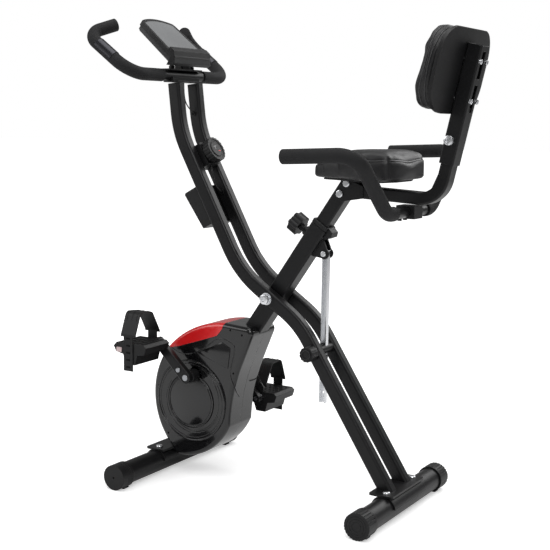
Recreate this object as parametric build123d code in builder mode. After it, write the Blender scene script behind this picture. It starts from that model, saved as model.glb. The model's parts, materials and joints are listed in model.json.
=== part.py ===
"""Folding upright exercise bike with a back support.

Millimetres, +Z up. The origin is on the floor midway along the bike, on the middle plane.
The rider faces -X, the rider's left is -Y. Every piece is one node of the assembly.
"""
import os
from math import atan2, cos, degrees, radians, sin

from build123d import *

os.makedirs("parts", exist_ok=True)

# ---------------------------------------------------------------- driving dimensions
FIT = 0.05                     # radial clearance of a shaft in its hole
GAP = 0.3                      # clearance between neighbouring bodies

# floor tubes
FOOT_AXIS_Z = 32.0
FOOT_TUBE_R = 28.0
FOOT_WALL = 2.0
FOOT_CAP_R = 32.0
FOOT_CAP_LENGTH = 42.0
FOOT_PAD_WIDTH = 30.0
FRONT_FOOT_X = -361.0
FRONT_FOOT_LENGTH = 511.0
REAR_FOOT_X = 300.0
REAR_FOOT_LENGTH = 436.0
FOOT_PLATE_BOTTOM = 61.0
FOOT_PLATE_TOP = 66.0

# main tube, seat side up, front foot side down
TUBE_ANGLE = 55.4
TUBE_SIZE = 45.0
TUBE_WALL = 2.5
TUBE_REFERENCE = (19.0, 581.4)
TUBE_TOP = 106.0               # along the tube from its reference point
TUBE_BOTTOM = -650.0
PIVOT = (-43.0, 488.0)
PIVOT_R = 6.0

# curved rails, from the handlebar down to the rear foot
RAIL_PATH = [(-327.5, 1008.0), (-313.5, 886.3), (-128.5, 547.0), (46.5, 432.1), (293.0, 55.0)]
RAIL_RADII = [250.0, 260.0, 220.0]
RAIL_Y = 41.0
RAIL_WIDTH = 28.0
RAIL_DEPTH = 35.0
RAIL_WALL = 2.0
RAIL_CORNER = 7.0

# fold lock: the strut and its cross bar sit at the same distance from the pivot
LINK_RADIUS = 177.0
STRUT_PIN_ANGLE = 40.9
CROSSBAR_ANGLE = -41.8
STRUT_X = 16.0
STRUT_Y = 12.0
STRUT_TAIL = 134.0             # strut length below the cross bar

# drive
CRANK_AXIS = (-252.5, 272.0)
CRANK_LENGTH = 120.0
CRANK_ANGLE = 136.5
CRANK_INNER_Y = 90.0
CRANK_OUTER_Y = 106.0
DRIVE_PULLEY_R = 80.0
FLYWHEEL_AXIS = (-278.6, 150.0)
FLYWHEEL_R = 76.0
FLYWHEEL_PULLEY_R = 14.0
BELT_Y = 37.0
MAGNET_PIVOT = (-212.0, 226.0)

# housing
HOUSING_HALF_WIDTH = 58.0
HOUSING_WALL = 2.5
HOUSING_FILLET = 11.0
HOUSING_CORNER = 16.0
RING_CENTRE = (-265.6, 202.5)
RING_R = 106.0

# pedals
PEDAL_Y = 165.0
PEDAL_WIDTH = 94.0
PEDAL_LENGTH = 100.0

# seat
POST_SIZE = 36.0
POST_BOTTOM = -5.0
FOOT_BOLT_Y = 70.0
TRUNNION_R = 8.0
POST_TOP = 255.0
SADDLE_BOTTOM = 787.0
SADDLE_TOP = 852.0
ARM_WIDTH = 38.0
ARM_DEPTH = 29.0
ARM_PATH = [(174.0, 756.0), (381.0, 746.0), (428.0, 953.0)]
BACK_LEAN = 12.8
CHANNEL_WIDTH = 44.0
CHANNEL_DEPTH = 35.0
CHANNEL_BOTTOM = (399.0, 827.0)
CHANNEL_LENGTH = 266.0
BACK_BOLT = (407.0, 880.0)
PAD_HEIGHT = 200.0
PAD_WIDTH = 288.0
PAD_CURVE = 1400.0

# handlebars
BAR_R = 12.7
GRIP_R = 15.8
BAR_X = -340.0
BAR_Z = 1027.0

# console
CONSOLE_TILT = 39.0
CONSOLE_WIDTH = 150.0
CONSOLE_LENGTH = 152.0

UP = (cos(radians(TUBE_ANGLE)), sin(radians(TUBE_ANGLE)))


def tube_point(along, across=0.0):
    """Point (x, z) at a distance along the main tube; across is positive towards the front."""
    x = TUBE_REFERENCE[0] + UP[0] * along - UP[1] * across
    z = TUBE_REFERENCE[1] + UP[1] * along + UP[0] * across
    return (x, z)


def side_plane(y):
    """Plane parallel to the middle plane, local axes (x, z), normal towards the rider's left."""
    return Plane(origin=(0, y, 0), x_dir=(1, 0, 0), z_dir=(0, -1, 0))


def tube_plane(along, across=0.0):
    """Cross-section plane of the main tube: local x is the bike's y, local y is frontwards."""
    x, z = tube_point(along, across)
    return Plane(origin=(x, 0, z), x_dir=(0, 1, 0), z_dir=(UP[0], 0, UP[1]))


def tube_normal_plane(along, across):
    """Plane facing away from the tube's front face at the given height above its axis."""
    x, z = tube_point(along, across)
    return Plane(origin=(x, 0, z), x_dir=(0, 1, 0), z_dir=(-UP[1], 0, UP[0]))


def polar(centre, radius, angle):
    """Point (x, z) at a distance and angle in degrees from a centre."""
    return (centre[0] + radius * cos(radians(angle)), centre[1] + radius * sin(radians(angle)))


def side_point(point, y):
    """A side-view point (x, z) placed at the given y."""
    return (point[0], y, point[1])


def save(part, node):
    """Label a finished piece and write it as the node's STEP file."""
    part.label = node
    export_step(part, f"parts/{node}.step")


STRUT_PIN = polar(PIVOT, LINK_RADIUS, STRUT_PIN_ANGLE)
CROSSBAR = polar(PIVOT, LINK_RADIUS, CROSSBAR_ANGLE)
PEDAL_LEFT = polar(CRANK_AXIS, CRANK_LENGTH, CRANK_ANGLE)
PEDAL_RIGHT = polar(CRANK_AXIS, CRANK_LENGTH, CRANK_ANGLE + 180.0)

# ---------------------------------------------------------------- main frame
EAR_INNER_Y = 8.0
EAR_OUTER_Y = 12.0
EAR_R = 13.0
CRANK_SHELL_R = 21.0
CRANK_SHELL_HALF = 30.0
FLYWHEEL_BUSH_R = 15.0
FLYWHEEL_BUSH_HALF = 26.0
AXLE_R = 8.5
SHAFT_R = 6.0
MAGNET_PIN_R = 4.0

with BuildPart() as main_frame:
    with BuildSketch(tube_plane(TUBE_BOTTOM)):
        RectangleRounded(TUBE_SIZE, TUBE_SIZE, 5.0)
    extrude(amount=TUBE_TOP - TUBE_BOTTOM)
    # crank shell in front of the tube, with its gusset
    with BuildSketch(side_plane(0)):
        with Locations(CRANK_AXIS):
            Circle(CRANK_SHELL_R)
    extrude(amount=CRANK_SHELL_HALF, both=True)
    with BuildSketch(side_plane(0)):
        with Locations(Location((*tube_point(-390.0, 24.0), 0), (0, 0, TUBE_ANGLE))):
            Rectangle(40.0, 14.0)
    extrude(amount=14.0, both=True)
    # flywheel bearing housing through the tube
    with BuildSketch(side_plane(0)):
        with Locations(FLYWHEEL_AXIS):
            Circle(FLYWHEEL_BUSH_R)
    extrude(amount=FLYWHEEL_BUSH_HALF, both=True)
    # strut ears behind the tube
    with BuildSketch(side_plane(0)):
        with BuildLine():
            Polyline(
                tube_point(88.0, -22.0),
                polar(STRUT_PIN, EAR_R, TUBE_ANGLE),
                polar(STRUT_PIN, EAR_R, TUBE_ANGLE + 180.0),
                tube_point(34.0, -22.0),
                close=True,
            )
        make_face()
        with Locations(STRUT_PIN):
            Circle(EAR_R)
    extrude(amount=EAR_OUTER_Y, both=True)
    with BuildSketch(side_plane(0)):
        with Locations(Location((*tube_point(50.0, -62.6), 0), (0, 0, TUBE_ANGLE))):
            Rectangle(160.0, 80.0)
    extrude(amount=EAR_INNER_Y, both=True, mode=Mode.SUBTRACT)
    # threaded boss for the seat knob
    with BuildSketch(tube_normal_plane(69.5, 22.0)):
        Circle(12.0)
    extrude(amount=10.0)
    # magnet bracket pin on the left face of the tube
    with BuildSketch(side_plane(-22.0)):
        with Locations(MAGNET_PIVOT):
            Circle(MAGNET_PIN_R)
    extrude(amount=28.0)
    # hollow the tube and bore the bearings
    with BuildSketch(tube_plane(TUBE_BOTTOM + 30.0)):
        Rectangle(TUBE_SIZE - 2 * TUBE_WALL, TUBE_SIZE - 2 * TUBE_WALL)
    extrude(amount=TUBE_TOP - TUBE_BOTTOM, mode=Mode.SUBTRACT)
    with BuildSketch(side_plane(0)):
        with Locations(FLYWHEEL_AXIS):
            Circle(FLYWHEEL_BUSH_R)
    extrude(amount=FLYWHEEL_BUSH_HALF, both=True)
    with BuildSketch(side_plane(0)):
        with Locations(CRANK_AXIS):
            Circle(AXLE_R + FIT)
        with Locations(FLYWHEEL_AXIS):
            Circle(SHAFT_R + FIT)
        with Locations(PIVOT):
            Circle(PIVOT_R + FIT)
        with Locations(STRUT_PIN):
            Circle(4.0 + FIT)
    extrude(amount=60.0, both=True, mode=Mode.SUBTRACT)
    with BuildSketch(tube_normal_plane(69.5, 15.0)):
        Circle(5.0 + FIT)
    extrude(amount=20.0, mode=Mode.SUBTRACT)
    # trim the lower end level with the foot plate
    split(bisect_by=Plane.XY.offset(FOOT_PLATE_TOP), keep=Keep.TOP)
save(main_frame.part, "main_frame")

SLEEVE_LENGTH = 12.0
with BuildPart() as post_sleeve:
    with BuildSketch(tube_plane(TUBE_TOP)):
        RectangleRounded(TUBE_SIZE + 1.0, TUBE_SIZE + 1.0, 5.0)
    extrude(amount=SLEEVE_LENGTH)
    chamfer(post_sleeve.faces().sort_by(Axis.Z)[-1].outer_wire().edges(), 2.0)
    with BuildSketch(tube_plane(TUBE_TOP - 60.0)):
        Rectangle(TUBE_SIZE - 2 * TUBE_WALL - 0.2, TUBE_SIZE - 2 * TUBE_WALL - 0.2)
    extrude(amount=60.0)
    # wedge tab on the rear face
    with BuildSketch(side_plane(0)):
        with BuildLine():
            Polyline(
                tube_point(TUBE_TOP + 12.0, -22.0),
                tube_point(TUBE_TOP + 9.0, -36.0),
                tube_point(TUBE_TOP - 2.0, -40.0),
                tube_point(TUBE_TOP - 16.0, -30.0),
                tube_point(TUBE_TOP - 16.0, -22.8),
                tube_point(TUBE_TOP, -22.8),
                close=True,
            )
        make_face()
    extrude(amount=15.0, both=True)
    with BuildSketch(tube_plane(TUBE_TOP - 70.0)):
        Rectangle(POST_SIZE + 0.3, POST_SIZE + 0.3)
    extrude(amount=100.0, mode=Mode.SUBTRACT)
    with BuildSketch(tube_normal_plane(69.5, 10.0)):
        Circle(5.6)
    extrude(amount=20.0, mode=Mode.SUBTRACT)
save(post_sleeve.part, "post_sleeve")

with BuildPart() as strut_pin:
    Cylinder(4.0, 2 * EAR_OUTER_Y + 5.0, rotation=(90, 0, 0))
    for side in (-1, 1):
        with Locations((0, side * (EAR_OUTER_Y + 3.2), 0)):
            Cylinder(7.0, 6.0, rotation=(90, 0, 0))
    fillet(strut_pin.edges().filter_by(GeomType.CIRCLE).group_by(Axis.Y)[0], 2.0)

PIVOT_HEAD_R = 11.0
RAIL_OUTER_Y = RAIL_Y + RAIL_WIDTH / 2
with BuildPart() as pivot_bolt:
    Cylinder(PIVOT_R, 2 * RAIL_OUTER_Y + 8.0, rotation=(90, 0, 0))
    for side in (-1, 1):
        with Locations((0, side * (RAIL_OUTER_Y + 1.55), 0)):
            Cylinder(15.0, 2.5, rotation=(90, 0, 0))
        with Locations((0, side * (RAIL_OUTER_Y + 6.3), 0)):
            Cylinder(PIVOT_HEAD_R, 7.0, rotation=(90, 0, 0))
    fillet(pivot_bolt.edges().filter_by(GeomType.CIRCLE).group_by(Axis.Y)[0], 3.0)
    fillet(pivot_bolt.edges().filter_by(GeomType.CIRCLE).group_by(Axis.Y)[-1], 3.0)

with BuildPart() as frame_pins:
    add(strut_pin.part.moved(Location(side_point(STRUT_PIN, 0))))
    add(pivot_bolt.part.moved(Location(side_point(PIVOT, 0))))
save(frame_pins.part, "frame_pins")


# ---------------------------------------------------------------- feet
def foot_tube(x, length):
    """Round floor tube with open ends, inside its two end caps."""
    with BuildPart() as tube:
        with BuildSketch(Plane(origin=(x, 0, FOOT_AXIS_Z), x_dir=(1, 0, 0), z_dir=(0, -1, 0))):
            Circle(FOOT_TUBE_R)
            Circle(FOOT_TUBE_R - FOOT_WALL, mode=Mode.SUBTRACT)
        extrude(amount=length / 2 - 6.0, both=True)
        with BuildSketch(Plane(origin=(x, 0, FOOT_AXIS_Z))):
            with Locations((0, -FOOT_BOLT_Y), (0, FOOT_BOLT_Y)):
                Circle(4.0 + FIT)
        extrude(amount=40.0, mode=Mode.SUBTRACT)
    return tube.part


def foot_caps(x, length, ribs_along):
    """Pair of end caps with a flat floor pad; ribs run along the axis or round it."""
    with BuildPart() as caps:
        for side in (-1, 1):
            inner = side * (length / 2 - FOOT_CAP_LENGTH)
            plane = Plane(origin=(x, inner, FOOT_AXIS_Z), x_dir=(1, 0, 0), z_dir=(0, side, 0))
            with BuildSketch(plane):
                Circle(FOOT_CAP_R)
            extrude(amount=FOOT_CAP_LENGTH)
            with BuildSketch(Plane(origin=(x, inner + side * 12.0, 0))):
                Rectangle(FOOT_PAD_WIDTH, 20.0)
            extrude(amount=14.0)
            with BuildSketch(plane):
                Circle(FOOT_TUBE_R + FIT)
            extrude(amount=FOOT_CAP_LENGTH - 5.0, mode=Mode.SUBTRACT)
            end_plane = plane.offset(FOOT_CAP_LENGTH)
            if ribs_along:
                with BuildSketch(plane.offset(8.0)):
                    with PolarLocations(FOOT_CAP_R, 24, 15.0, 330.0):
                        Circle(1.3)
                extrude(amount=FOOT_CAP_LENGTH, mode=Mode.SUBTRACT)
                for radius in (12.0, 19.0, 25.0):
                    with BuildSketch(end_plane):
                        Circle(radius)
                        Circle(radius - 1.6, mode=Mode.SUBTRACT)
                    extrude(amount=-1.0, mode=Mode.SUBTRACT)
            else:
                with BuildSketch(end_plane):
                    Circle(3.0)
                extrude(amount=-3.0, mode=Mode.SUBTRACT)
                for step in range(4):
                    with BuildSketch(plane.offset(6.0 + 5.0 * step)):
                        Circle(FOOT_CAP_R + 1.0)
                        Circle(FOOT_CAP_R - 1.2, mode=Mode.SUBTRACT)
                        with Locations((0, -FOOT_CAP_R)):
                            Rectangle(80.0, 24.0, mode=Mode.SUBTRACT)
                    extrude(amount=1.6, mode=Mode.SUBTRACT)
    return caps.part


def foot_bracket(x, plate_x, plate_length, half_width):
    """Saddle that hugs the top of a floor tube and carries a level plate."""
    with BuildPart() as bracket:
        with BuildSketch(Plane.XY.offset(FOOT_PLATE_BOTTOM)):
            with Locations((plate_x, 0)):
                RectangleRounded(plate_length, 2 * half_width, 6.0)
        extrude(amount=FOOT_PLATE_TOP - FOOT_PLATE_BOTTOM)
        with BuildSketch(Plane(origin=(x, 0, FOOT_AXIS_Z), x_dir=(1, 0, 0), z_dir=(0, -1, 0))):
            Circle(FOOT_TUBE_R + 4.0)
            Circle(FOOT_TUBE_R + FIT, mode=Mode.SUBTRACT)
            with Locations((0, -31.0)):
                Rectangle(90.0, 70.0, mode=Mode.SUBTRACT)
        extrude(amount=half_width - 2.0, both=True)
        with BuildSketch(Plane(origin=(x, 0, FOOT_AXIS_Z), x_dir=(1, 0, 0), z_dir=(0, -1, 0))):
            Circle(FOOT_TUBE_R + FIT)
        extrude(amount=2 * half_width, both=True, mode=Mode.SUBTRACT)
        with BuildSketch(Plane(origin=(x, 0, FOOT_AXIS_Z))):
            with Locations((0, -FOOT_BOLT_Y), (0, FOOT_BOLT_Y)):
                Circle(4.0 + FIT)
        extrude(amount=40.0, mode=Mode.SUBTRACT)
    return bracket.part


def foot_bolts(x):
    """Two domed bolts through the foot plate into the floor tube."""
    with BuildPart() as bolts:
        with BuildSketch(Plane(origin=(x, 0, FOOT_PLATE_TOP))):
            with Locations((0, -FOOT_BOLT_Y), (0, FOOT_BOLT_Y)):
                Circle(9.0)
        extrude(amount=5.0)
        fillet(bolts.edges().group_by(Axis.Z)[-1], 4.0)
        with BuildSketch(Plane(origin=(x, 0, FOOT_PLATE_TOP))):
            with Locations((0, -FOOT_BOLT_Y), (0, FOOT_BOLT_Y)):
                Circle(4.0)
        extrude(amount=-22.0)
    return bolts.part


save(foot_tube(FRONT_FOOT_X, FRONT_FOOT_LENGTH), "front_stabilizer_tube")
save(foot_tube(REAR_FOOT_X, REAR_FOOT_LENGTH), "rear_stabilizer_tube")
save(foot_caps(FRONT_FOOT_X, FRONT_FOOT_LENGTH, False), "front_caps")
save(foot_caps(REAR_FOOT_X, REAR_FOOT_LENGTH, True), "rear_caps")
save(foot_bracket(FRONT_FOOT_X, -362.0, 58.0, 88.0), "front_foot_bracket")
save(foot_bracket(REAR_FOOT_X, 293.0, 62.0, 88.0), "rear_foot_bracket")
save(foot_bolts(FRONT_FOOT_X), "front_foot_bolts")
save(foot_bolts(REAR_FOOT_X), "rear_foot_bolts")


# ---------------------------------------------------------------- rails
def rail(y):
    """One curved hollow rail, with the bores of the pivot and of the cross bar."""
    with BuildPart() as tube:
        with BuildLine() as path:
            FilletPolyline(*[side_point(point, y) for point in RAIL_PATH], radius=RAIL_RADII)
        start = Plane(origin=path.line @ 0, x_dir=(0, 1, 0), z_dir=path.line % 0)
        with BuildSketch(start):
            RectangleRounded(RAIL_WIDTH, RAIL_DEPTH, RAIL_CORNER)
            RectangleRounded(
                RAIL_WIDTH - 2 * RAIL_WALL,
                RAIL_DEPTH - 2 * RAIL_WALL,
                RAIL_CORNER - RAIL_WALL,
                mode=Mode.SUBTRACT,
            )
        sweep(path=path.line)
        split(bisect_by=Plane.XY.offset(FOOT_PLATE_TOP), keep=Keep.TOP)
        with BuildSketch(side_plane(0)):
            with Locations(PIVOT):
                Circle(PIVOT_R + FIT)
            with Locations(CROSSBAR):
                Circle(TRUNNION_R + FIT)
        extrude(amount=90.0, both=True, mode=Mode.SUBTRACT)
    return tube.part


save(rail(-RAIL_Y), "left_rail")
save(rail(RAIL_Y), "right_rail")

# ---------------------------------------------------------------- fold lock
CROSSBAR_R = 12.5
RAIL_INNER_Y = RAIL_Y - RAIL_WIDTH / 2
STRUT_TILT = degrees(atan2(STRUT_PIN[0] - CROSSBAR[0], STRUT_PIN[1] - CROSSBAR[1]))
STRUT_LENGTH = 2 * LINK_RADIUS * sin(radians((STRUT_PIN_ANGLE - CROSSBAR_ANGLE) / 2)) + STRUT_TAIL

with BuildPart() as crossbar:
    Cylinder(CROSSBAR_R, 2 * (RAIL_INNER_Y - GAP), rotation=(90, 0, 0))
    Cylinder(TRUNNION_R, 2 * (RAIL_OUTER_Y - 1.0), rotation=(90, 0, 0))
    Box(STRUT_X + 0.6, STRUT_Y + 0.6, 40.0, rotation=(0, STRUT_TILT, 0), mode=Mode.SUBTRACT)
    with BuildSketch(side_plane(-20.0)):
        Circle(5.0 + FIT)
    extrude(amount=60.0, mode=Mode.SUBTRACT)
save(crossbar.part.moved(Location(side_point(CROSSBAR, 0))), "crossbar")

with BuildPart() as lock_knob:
    with BuildSketch(side_plane(-28.0)):
        Circle(5.0)
    extrude(amount=40.0)
    with BuildSketch(side_plane(-RAIL_OUTER_Y - GAP)):
        Circle(11.0)
    extrude(amount=4.0)
    with BuildSketch(side_plane(-RAIL_OUTER_Y - 4.0)):
        Circle(18.3)
        with PolarLocations(19.0, 12):
            Circle(2.2, mode=Mode.SUBTRACT)
    extrude(amount=28.0)
    with BuildSketch(side_plane(-RAIL_OUTER_Y - 32.0)):
        Circle(15.0)
        Circle(11.5, mode=Mode.SUBTRACT)
    extrude(amount=-1.0, mode=Mode.SUBTRACT)
    with BuildSketch(side_plane(-RAIL_OUTER_Y - 32.0)):
        Rectangle(3.0, 15.0, rotation=-40)
    extrude(amount=1.2)
save(lock_knob.part.moved(Location(side_point(CROSSBAR, 0))), "lock_knob")

with BuildPart() as strut:
    with BuildSketch(Plane.XZ):
        with Locations((0, 8.0 - (STRUT_LENGTH + 8.0) / 2)):
            Rectangle(STRUT_X, STRUT_LENGTH + 8.0)
    extrude(amount=STRUT_Y / 2, both=True)
    # hollow below the eye, open along one side
    with BuildSketch(Plane.XZ.offset(-STRUT_Y / 2 + 2.0)):
        with Locations((0, -10.0 - STRUT_LENGTH / 2)):
            Rectangle(STRUT_X - 4.0, STRUT_LENGTH)
    extrude(amount=STRUT_Y, mode=Mode.SUBTRACT)
    with BuildSketch(Plane.XZ):
        Circle(4.0 + FIT)
        with Locations((0, -STRUT_LENGTH + 25.0), (0, -STRUT_LENGTH + 51.0)):
            Circle(3.4)
    extrude(amount=STRUT_Y, both=True, mode=Mode.SUBTRACT)
save(strut.part.moved(Location(side_point(STRUT_PIN, 0), (0, STRUT_TILT, 0))), "strut")

# ---------------------------------------------------------------- seat knob
KNOB_ALONG = 69.5
with BuildPart() as seat_knob:
    with BuildSketch(tube_normal_plane(KNOB_ALONG, POST_SIZE / 2 + GAP)):
        Circle(5.0)
    extrude(amount=30.0)
    with BuildSketch(tube_normal_plane(KNOB_ALONG, 34.0)):
        Circle(9.0)
    extrude(amount=12.0)
    with BuildSketch(tube_normal_plane(KNOB_ALONG, 45.0)):
        Circle(22.0)
        with PolarLocations(20.0, 6):
            Circle(6.5)
    extrude(amount=28.0)
    fillet(seat_knob.edges().group_by(Axis((0, 0, 0), (-UP[1], 0, UP[0])))[-1], 2.5)
save(seat_knob.part, "seat_knob")

# ---------------------------------------------------------------- housing
HOUSING_TOP_REAR = (-76.0, 408.0)
HOUSING_SCREWS = [
    (-147.0, 399.0),
    (-112.0, 390.0),
    (-137.0, 290.0),
    (-215.0, 97.0),
    (-370.0, 228.0),
    (-340.0, 104.0),
]
ACCENT_EDGE = [(-375.0, 322.0), (-303.0, 341.0), (-240.0, 362.0), (-188.0, 380.0)]

with BuildSketch() as housing_outline:
    with BuildLine():
        ThreePointArc((-338.0, 340.0), (-388.0, 185.0), (-350.0, 90.0))
        Line((-350.0, 90.0), (-316.0, 50.0))
        Line((-316.0, 50.0), (-290.0, 50.0))
        ThreePointArc((-290.0, 50.0), (-205.0, 84.0), (-152.0, 150.0))
        ThreePointArc((-152.0, 150.0), (-141.0, 236.0), (-113.0, 320.0))
        Line((-113.0, 320.0), HOUSING_TOP_REAR)
        Line(HOUSING_TOP_REAR, (-165.0, 414.0))
        ThreePointArc((-165.0, 414.0), (-262.0, 392.0), (-338.0, 340.0))
    make_face()
    fillet(housing_outline.vertices(), HOUSING_CORNER)

with BuildSketch() as housing_cavity:
    add(housing_outline.sketch)
    offset(amount=-HOUSING_WALL, mode=Mode.REPLACE)

with BuildSketch() as accent_region:
    with BuildLine():
        Polyline(*ACCENT_EDGE, (-172.0, 399.0), (-160.0, 440.0), (-380.0, 440.0), close=True)
    make_face()

with BuildSketch() as accent_recess:
    add(accent_region.sketch)
    offset(amount=GAP, kind=Kind.INTERSECTION, mode=Mode.REPLACE)


with BuildPart() as housing_body:
    with BuildSketch(side_plane(0)):
        add(housing_outline.sketch)
    extrude(amount=HOUSING_HALF_WIDTH, both=True)
    for end in (0, -1):
        fillet(housing_body.faces().sort_by(Axis.Y)[end].edges(), HOUSING_FILLET)

with BuildPart() as housing_inside:
    with BuildSketch(side_plane(0)):
        add(housing_cavity.sketch)
    extrude(amount=HOUSING_HALF_WIDTH - HOUSING_WALL, both=True)
    for end in (0, -1):
        fillet(housing_inside.faces().sort_by(Axis.Y)[end].edges(), HOUSING_FILLET - 2.0)


def housing_shell(side):
    """One half shell; side is -1 for the rider's left and +1 for the right."""
    with BuildPart() as shell:
        add(housing_body.part)
        with BuildSketch(side_plane(side * HOUSING_HALF_WIDTH)):
            with Locations(RING_CENTRE):
                Circle(RING_R)
                Circle(RING_R - 34.0, mode=Mode.SUBTRACT)
        extrude(amount=-side * 3.0)
        with BuildSketch(side_plane(side * HOUSING_HALF_WIDTH)):
            with Locations(RING_CENTRE):
                Circle(RING_R - 40.0)
        extrude(amount=-side * 3.0)
        # hollow it and keep the half beyond 0.2 mm from the middle plane
        add(housing_inside.part, mode=Mode.SUBTRACT)
        with BuildSketch(side_plane(side * 0.2)):
            Rectangle(1200.0, 1200.0)
        extrude(amount=side * 100.0, mode=Mode.SUBTRACT)
        # the insert's recess, the frame tube and the crank axle
        with BuildSketch(side_plane(0)):
            add(accent_recess.sketch)
        extrude(amount=-side * 80.0, mode=Mode.SUBTRACT)
        with BuildSketch(tube_plane(TUBE_BOTTOM)):
            Rectangle(TUBE_SIZE + 1.0, TUBE_SIZE + 1.0)
        extrude(amount=TUBE_TOP - TUBE_BOTTOM, mode=Mode.SUBTRACT)
        with BuildSketch(side_plane(0)):
            with Locations(CRANK_AXIS):
                Circle(20.0)
            with Locations(*HOUSING_SCREWS):
                Circle(2.6)
        extrude(amount=-side * 80.0, mode=Mode.SUBTRACT)
    return shell.part


save(housing_shell(-1), "housing_left")
save(housing_shell(1), "housing_right")

with BuildPart() as housing_accent:
    add(housing_body.part)
    add(housing_inside.part, mode=Mode.SUBTRACT)
    with BuildSketch(side_plane(0)):
        add(accent_region.sketch)
    extrude(amount=80.0, both=True, mode=Mode.INTERSECT)
save(housing_accent.part, "housing_accent")

with BuildPart() as housing_screws:
    for side in (-1, 1):
        with BuildSketch(side_plane(side * 48.0)):
            with Locations(*HOUSING_SCREWS):
                Circle(2.5)
        extrude(amount=-side * 7.0)
save(housing_screws.part, "housing_screws")

# ---------------------------------------------------------------- crank and drive
with BuildPart() as crank_axle:
    with BuildSketch(side_plane(0)):
        with Locations(CRANK_AXIS):
            Circle(AXLE_R)
    extrude(amount=CRANK_OUTER_Y, both=True)
    chamfer(crank_axle.edges().filter_by(GeomType.CIRCLE), 1.0)
save(crank_axle.part, "crank_axle")

CRANK_SCREW_ALONG = 27.0


def crank_arm(side, pedal, angle):
    """Flat crank arm from the axle boss to the pedal boss."""
    with BuildPart() as arm:
        with BuildSketch(side_plane(side * CRANK_INNER_Y)):
            with Locations(CRANK_AXIS):
                Circle(15.0)
            with Locations(pedal):
                Circle(12.0)
            make_hull()
        extrude(amount=-side * (CRANK_OUTER_Y - CRANK_INNER_Y))
        fillet(arm.faces().sort_by(Axis.Y)[0 if side < 0 else -1].edges(), 3.0)
        with BuildSketch(side_plane(side * 64.0)):
            with Locations(CRANK_AXIS):
                Circle(17.0)
        extrude(amount=-side * (CRANK_INNER_Y - 64.0))
        with BuildSketch(side_plane(0)):
            with Locations(CRANK_AXIS):
                Circle(AXLE_R + FIT)
            with Locations(pedal):
                Circle(6.0 + FIT)
            with Locations(polar(CRANK_AXIS, CRANK_SCREW_ALONG, angle)):
                Circle(4.0 + FIT)
        extrude(amount=-side * 130.0, mode=Mode.SUBTRACT)
    return arm.part


save(crank_arm(-1, PEDAL_LEFT, CRANK_ANGLE), "crank_left")
save(crank_arm(1, PEDAL_RIGHT, CRANK_ANGLE + 180.0), "crank_right")

with BuildPart() as crank_screws:
    for side, angle in ((-1, CRANK_ANGLE), (1, CRANK_ANGLE + 180.0)):
        place = polar(CRANK_AXIS, CRANK_SCREW_ALONG, angle)
        with BuildSketch(side_plane(side * (CRANK_INNER_Y + 2.0))):
            with Locations(place):
                Circle(4.0)
        extrude(amount=-side * (CRANK_OUTER_Y - CRANK_INNER_Y - 2.0))
        with BuildSketch(side_plane(side * CRANK_OUTER_Y)):
            with Locations(place):
                Circle(6.5)
        extrude(amount=-side * 4.0)
    fillet(crank_screws.edges().filter_by(GeomType.CIRCLE).group_by(Axis.Y)[0], 2.0)
    fillet(crank_screws.edges().filter_by(GeomType.CIRCLE).group_by(Axis.Y)[-1], 2.0)

PULLEY_WIDTH = 10.0
with BuildPart() as drive_pulley:
    with BuildSketch(side_plane(BELT_Y)):
        with Locations(CRANK_AXIS):
            Circle(DRIVE_PULLEY_R)
    extrude(amount=PULLEY_WIDTH / 2, both=True)
    for side in (-1, 1):
        with BuildSketch(side_plane(BELT_Y + side * PULLEY_WIDTH / 2)):
            with Locations(CRANK_AXIS):
                Circle(DRIVE_PULLEY_R - 7.0)
                Circle(20.0, mode=Mode.SUBTRACT)
        extrude(amount=side * 3.0, mode=Mode.SUBTRACT)
    with BuildSketch(side_plane(BELT_Y)):
        with Locations(CRANK_AXIS):
            Circle(AXLE_R + FIT)
            with PolarLocations(45.0, 6):
                Circle(12.0)
    extrude(amount=20.0, both=True, mode=Mode.SUBTRACT)
save(drive_pulley.part, "drive_pulley")

BELT_THICKNESS = 2.5
with BuildSketch() as belt_outside:
    with Locations(CRANK_AXIS):
        Circle(DRIVE_PULLEY_R + GAP + BELT_THICKNESS)
    with Locations(FLYWHEEL_AXIS):
        Circle(FLYWHEEL_PULLEY_R + GAP + BELT_THICKNESS)
    make_hull()
with BuildSketch() as belt_inside:
    with Locations(CRANK_AXIS):
        Circle(DRIVE_PULLEY_R + GAP)
    with Locations(FLYWHEEL_AXIS):
        Circle(FLYWHEEL_PULLEY_R + GAP)
    make_hull()
with BuildPart() as drive_belt:
    with BuildSketch(side_plane(BELT_Y)):
        add(belt_outside.sketch)
        add(belt_inside.sketch, mode=Mode.SUBTRACT)
    extrude(amount=4.0, both=True)
save(drive_belt.part, "drive_belt")

FLYWHEEL_INNER_Y = -28.0
FLYWHEEL_WIDTH = 18.0
with BuildPart() as flywheel:
    with BuildSketch(side_plane(FLYWHEEL_INNER_Y)):
        with Locations(FLYWHEEL_AXIS):
            Circle(FLYWHEEL_R)
            Circle(SHAFT_R + FIT, mode=Mode.SUBTRACT)
    extrude(amount=FLYWHEEL_WIDTH)
    for y, way in ((FLYWHEEL_INNER_Y, 1), (FLYWHEEL_INNER_Y - FLYWHEEL_WIDTH, -1)):
        with BuildSketch(side_plane(y)):
            with Locations(FLYWHEEL_AXIS):
                Circle(FLYWHEEL_R - 18.0)
                Circle(18.0, mode=Mode.SUBTRACT)
        extrude(amount=way * 5.0, mode=Mode.SUBTRACT)
save(flywheel.part, "flywheel")

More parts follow.
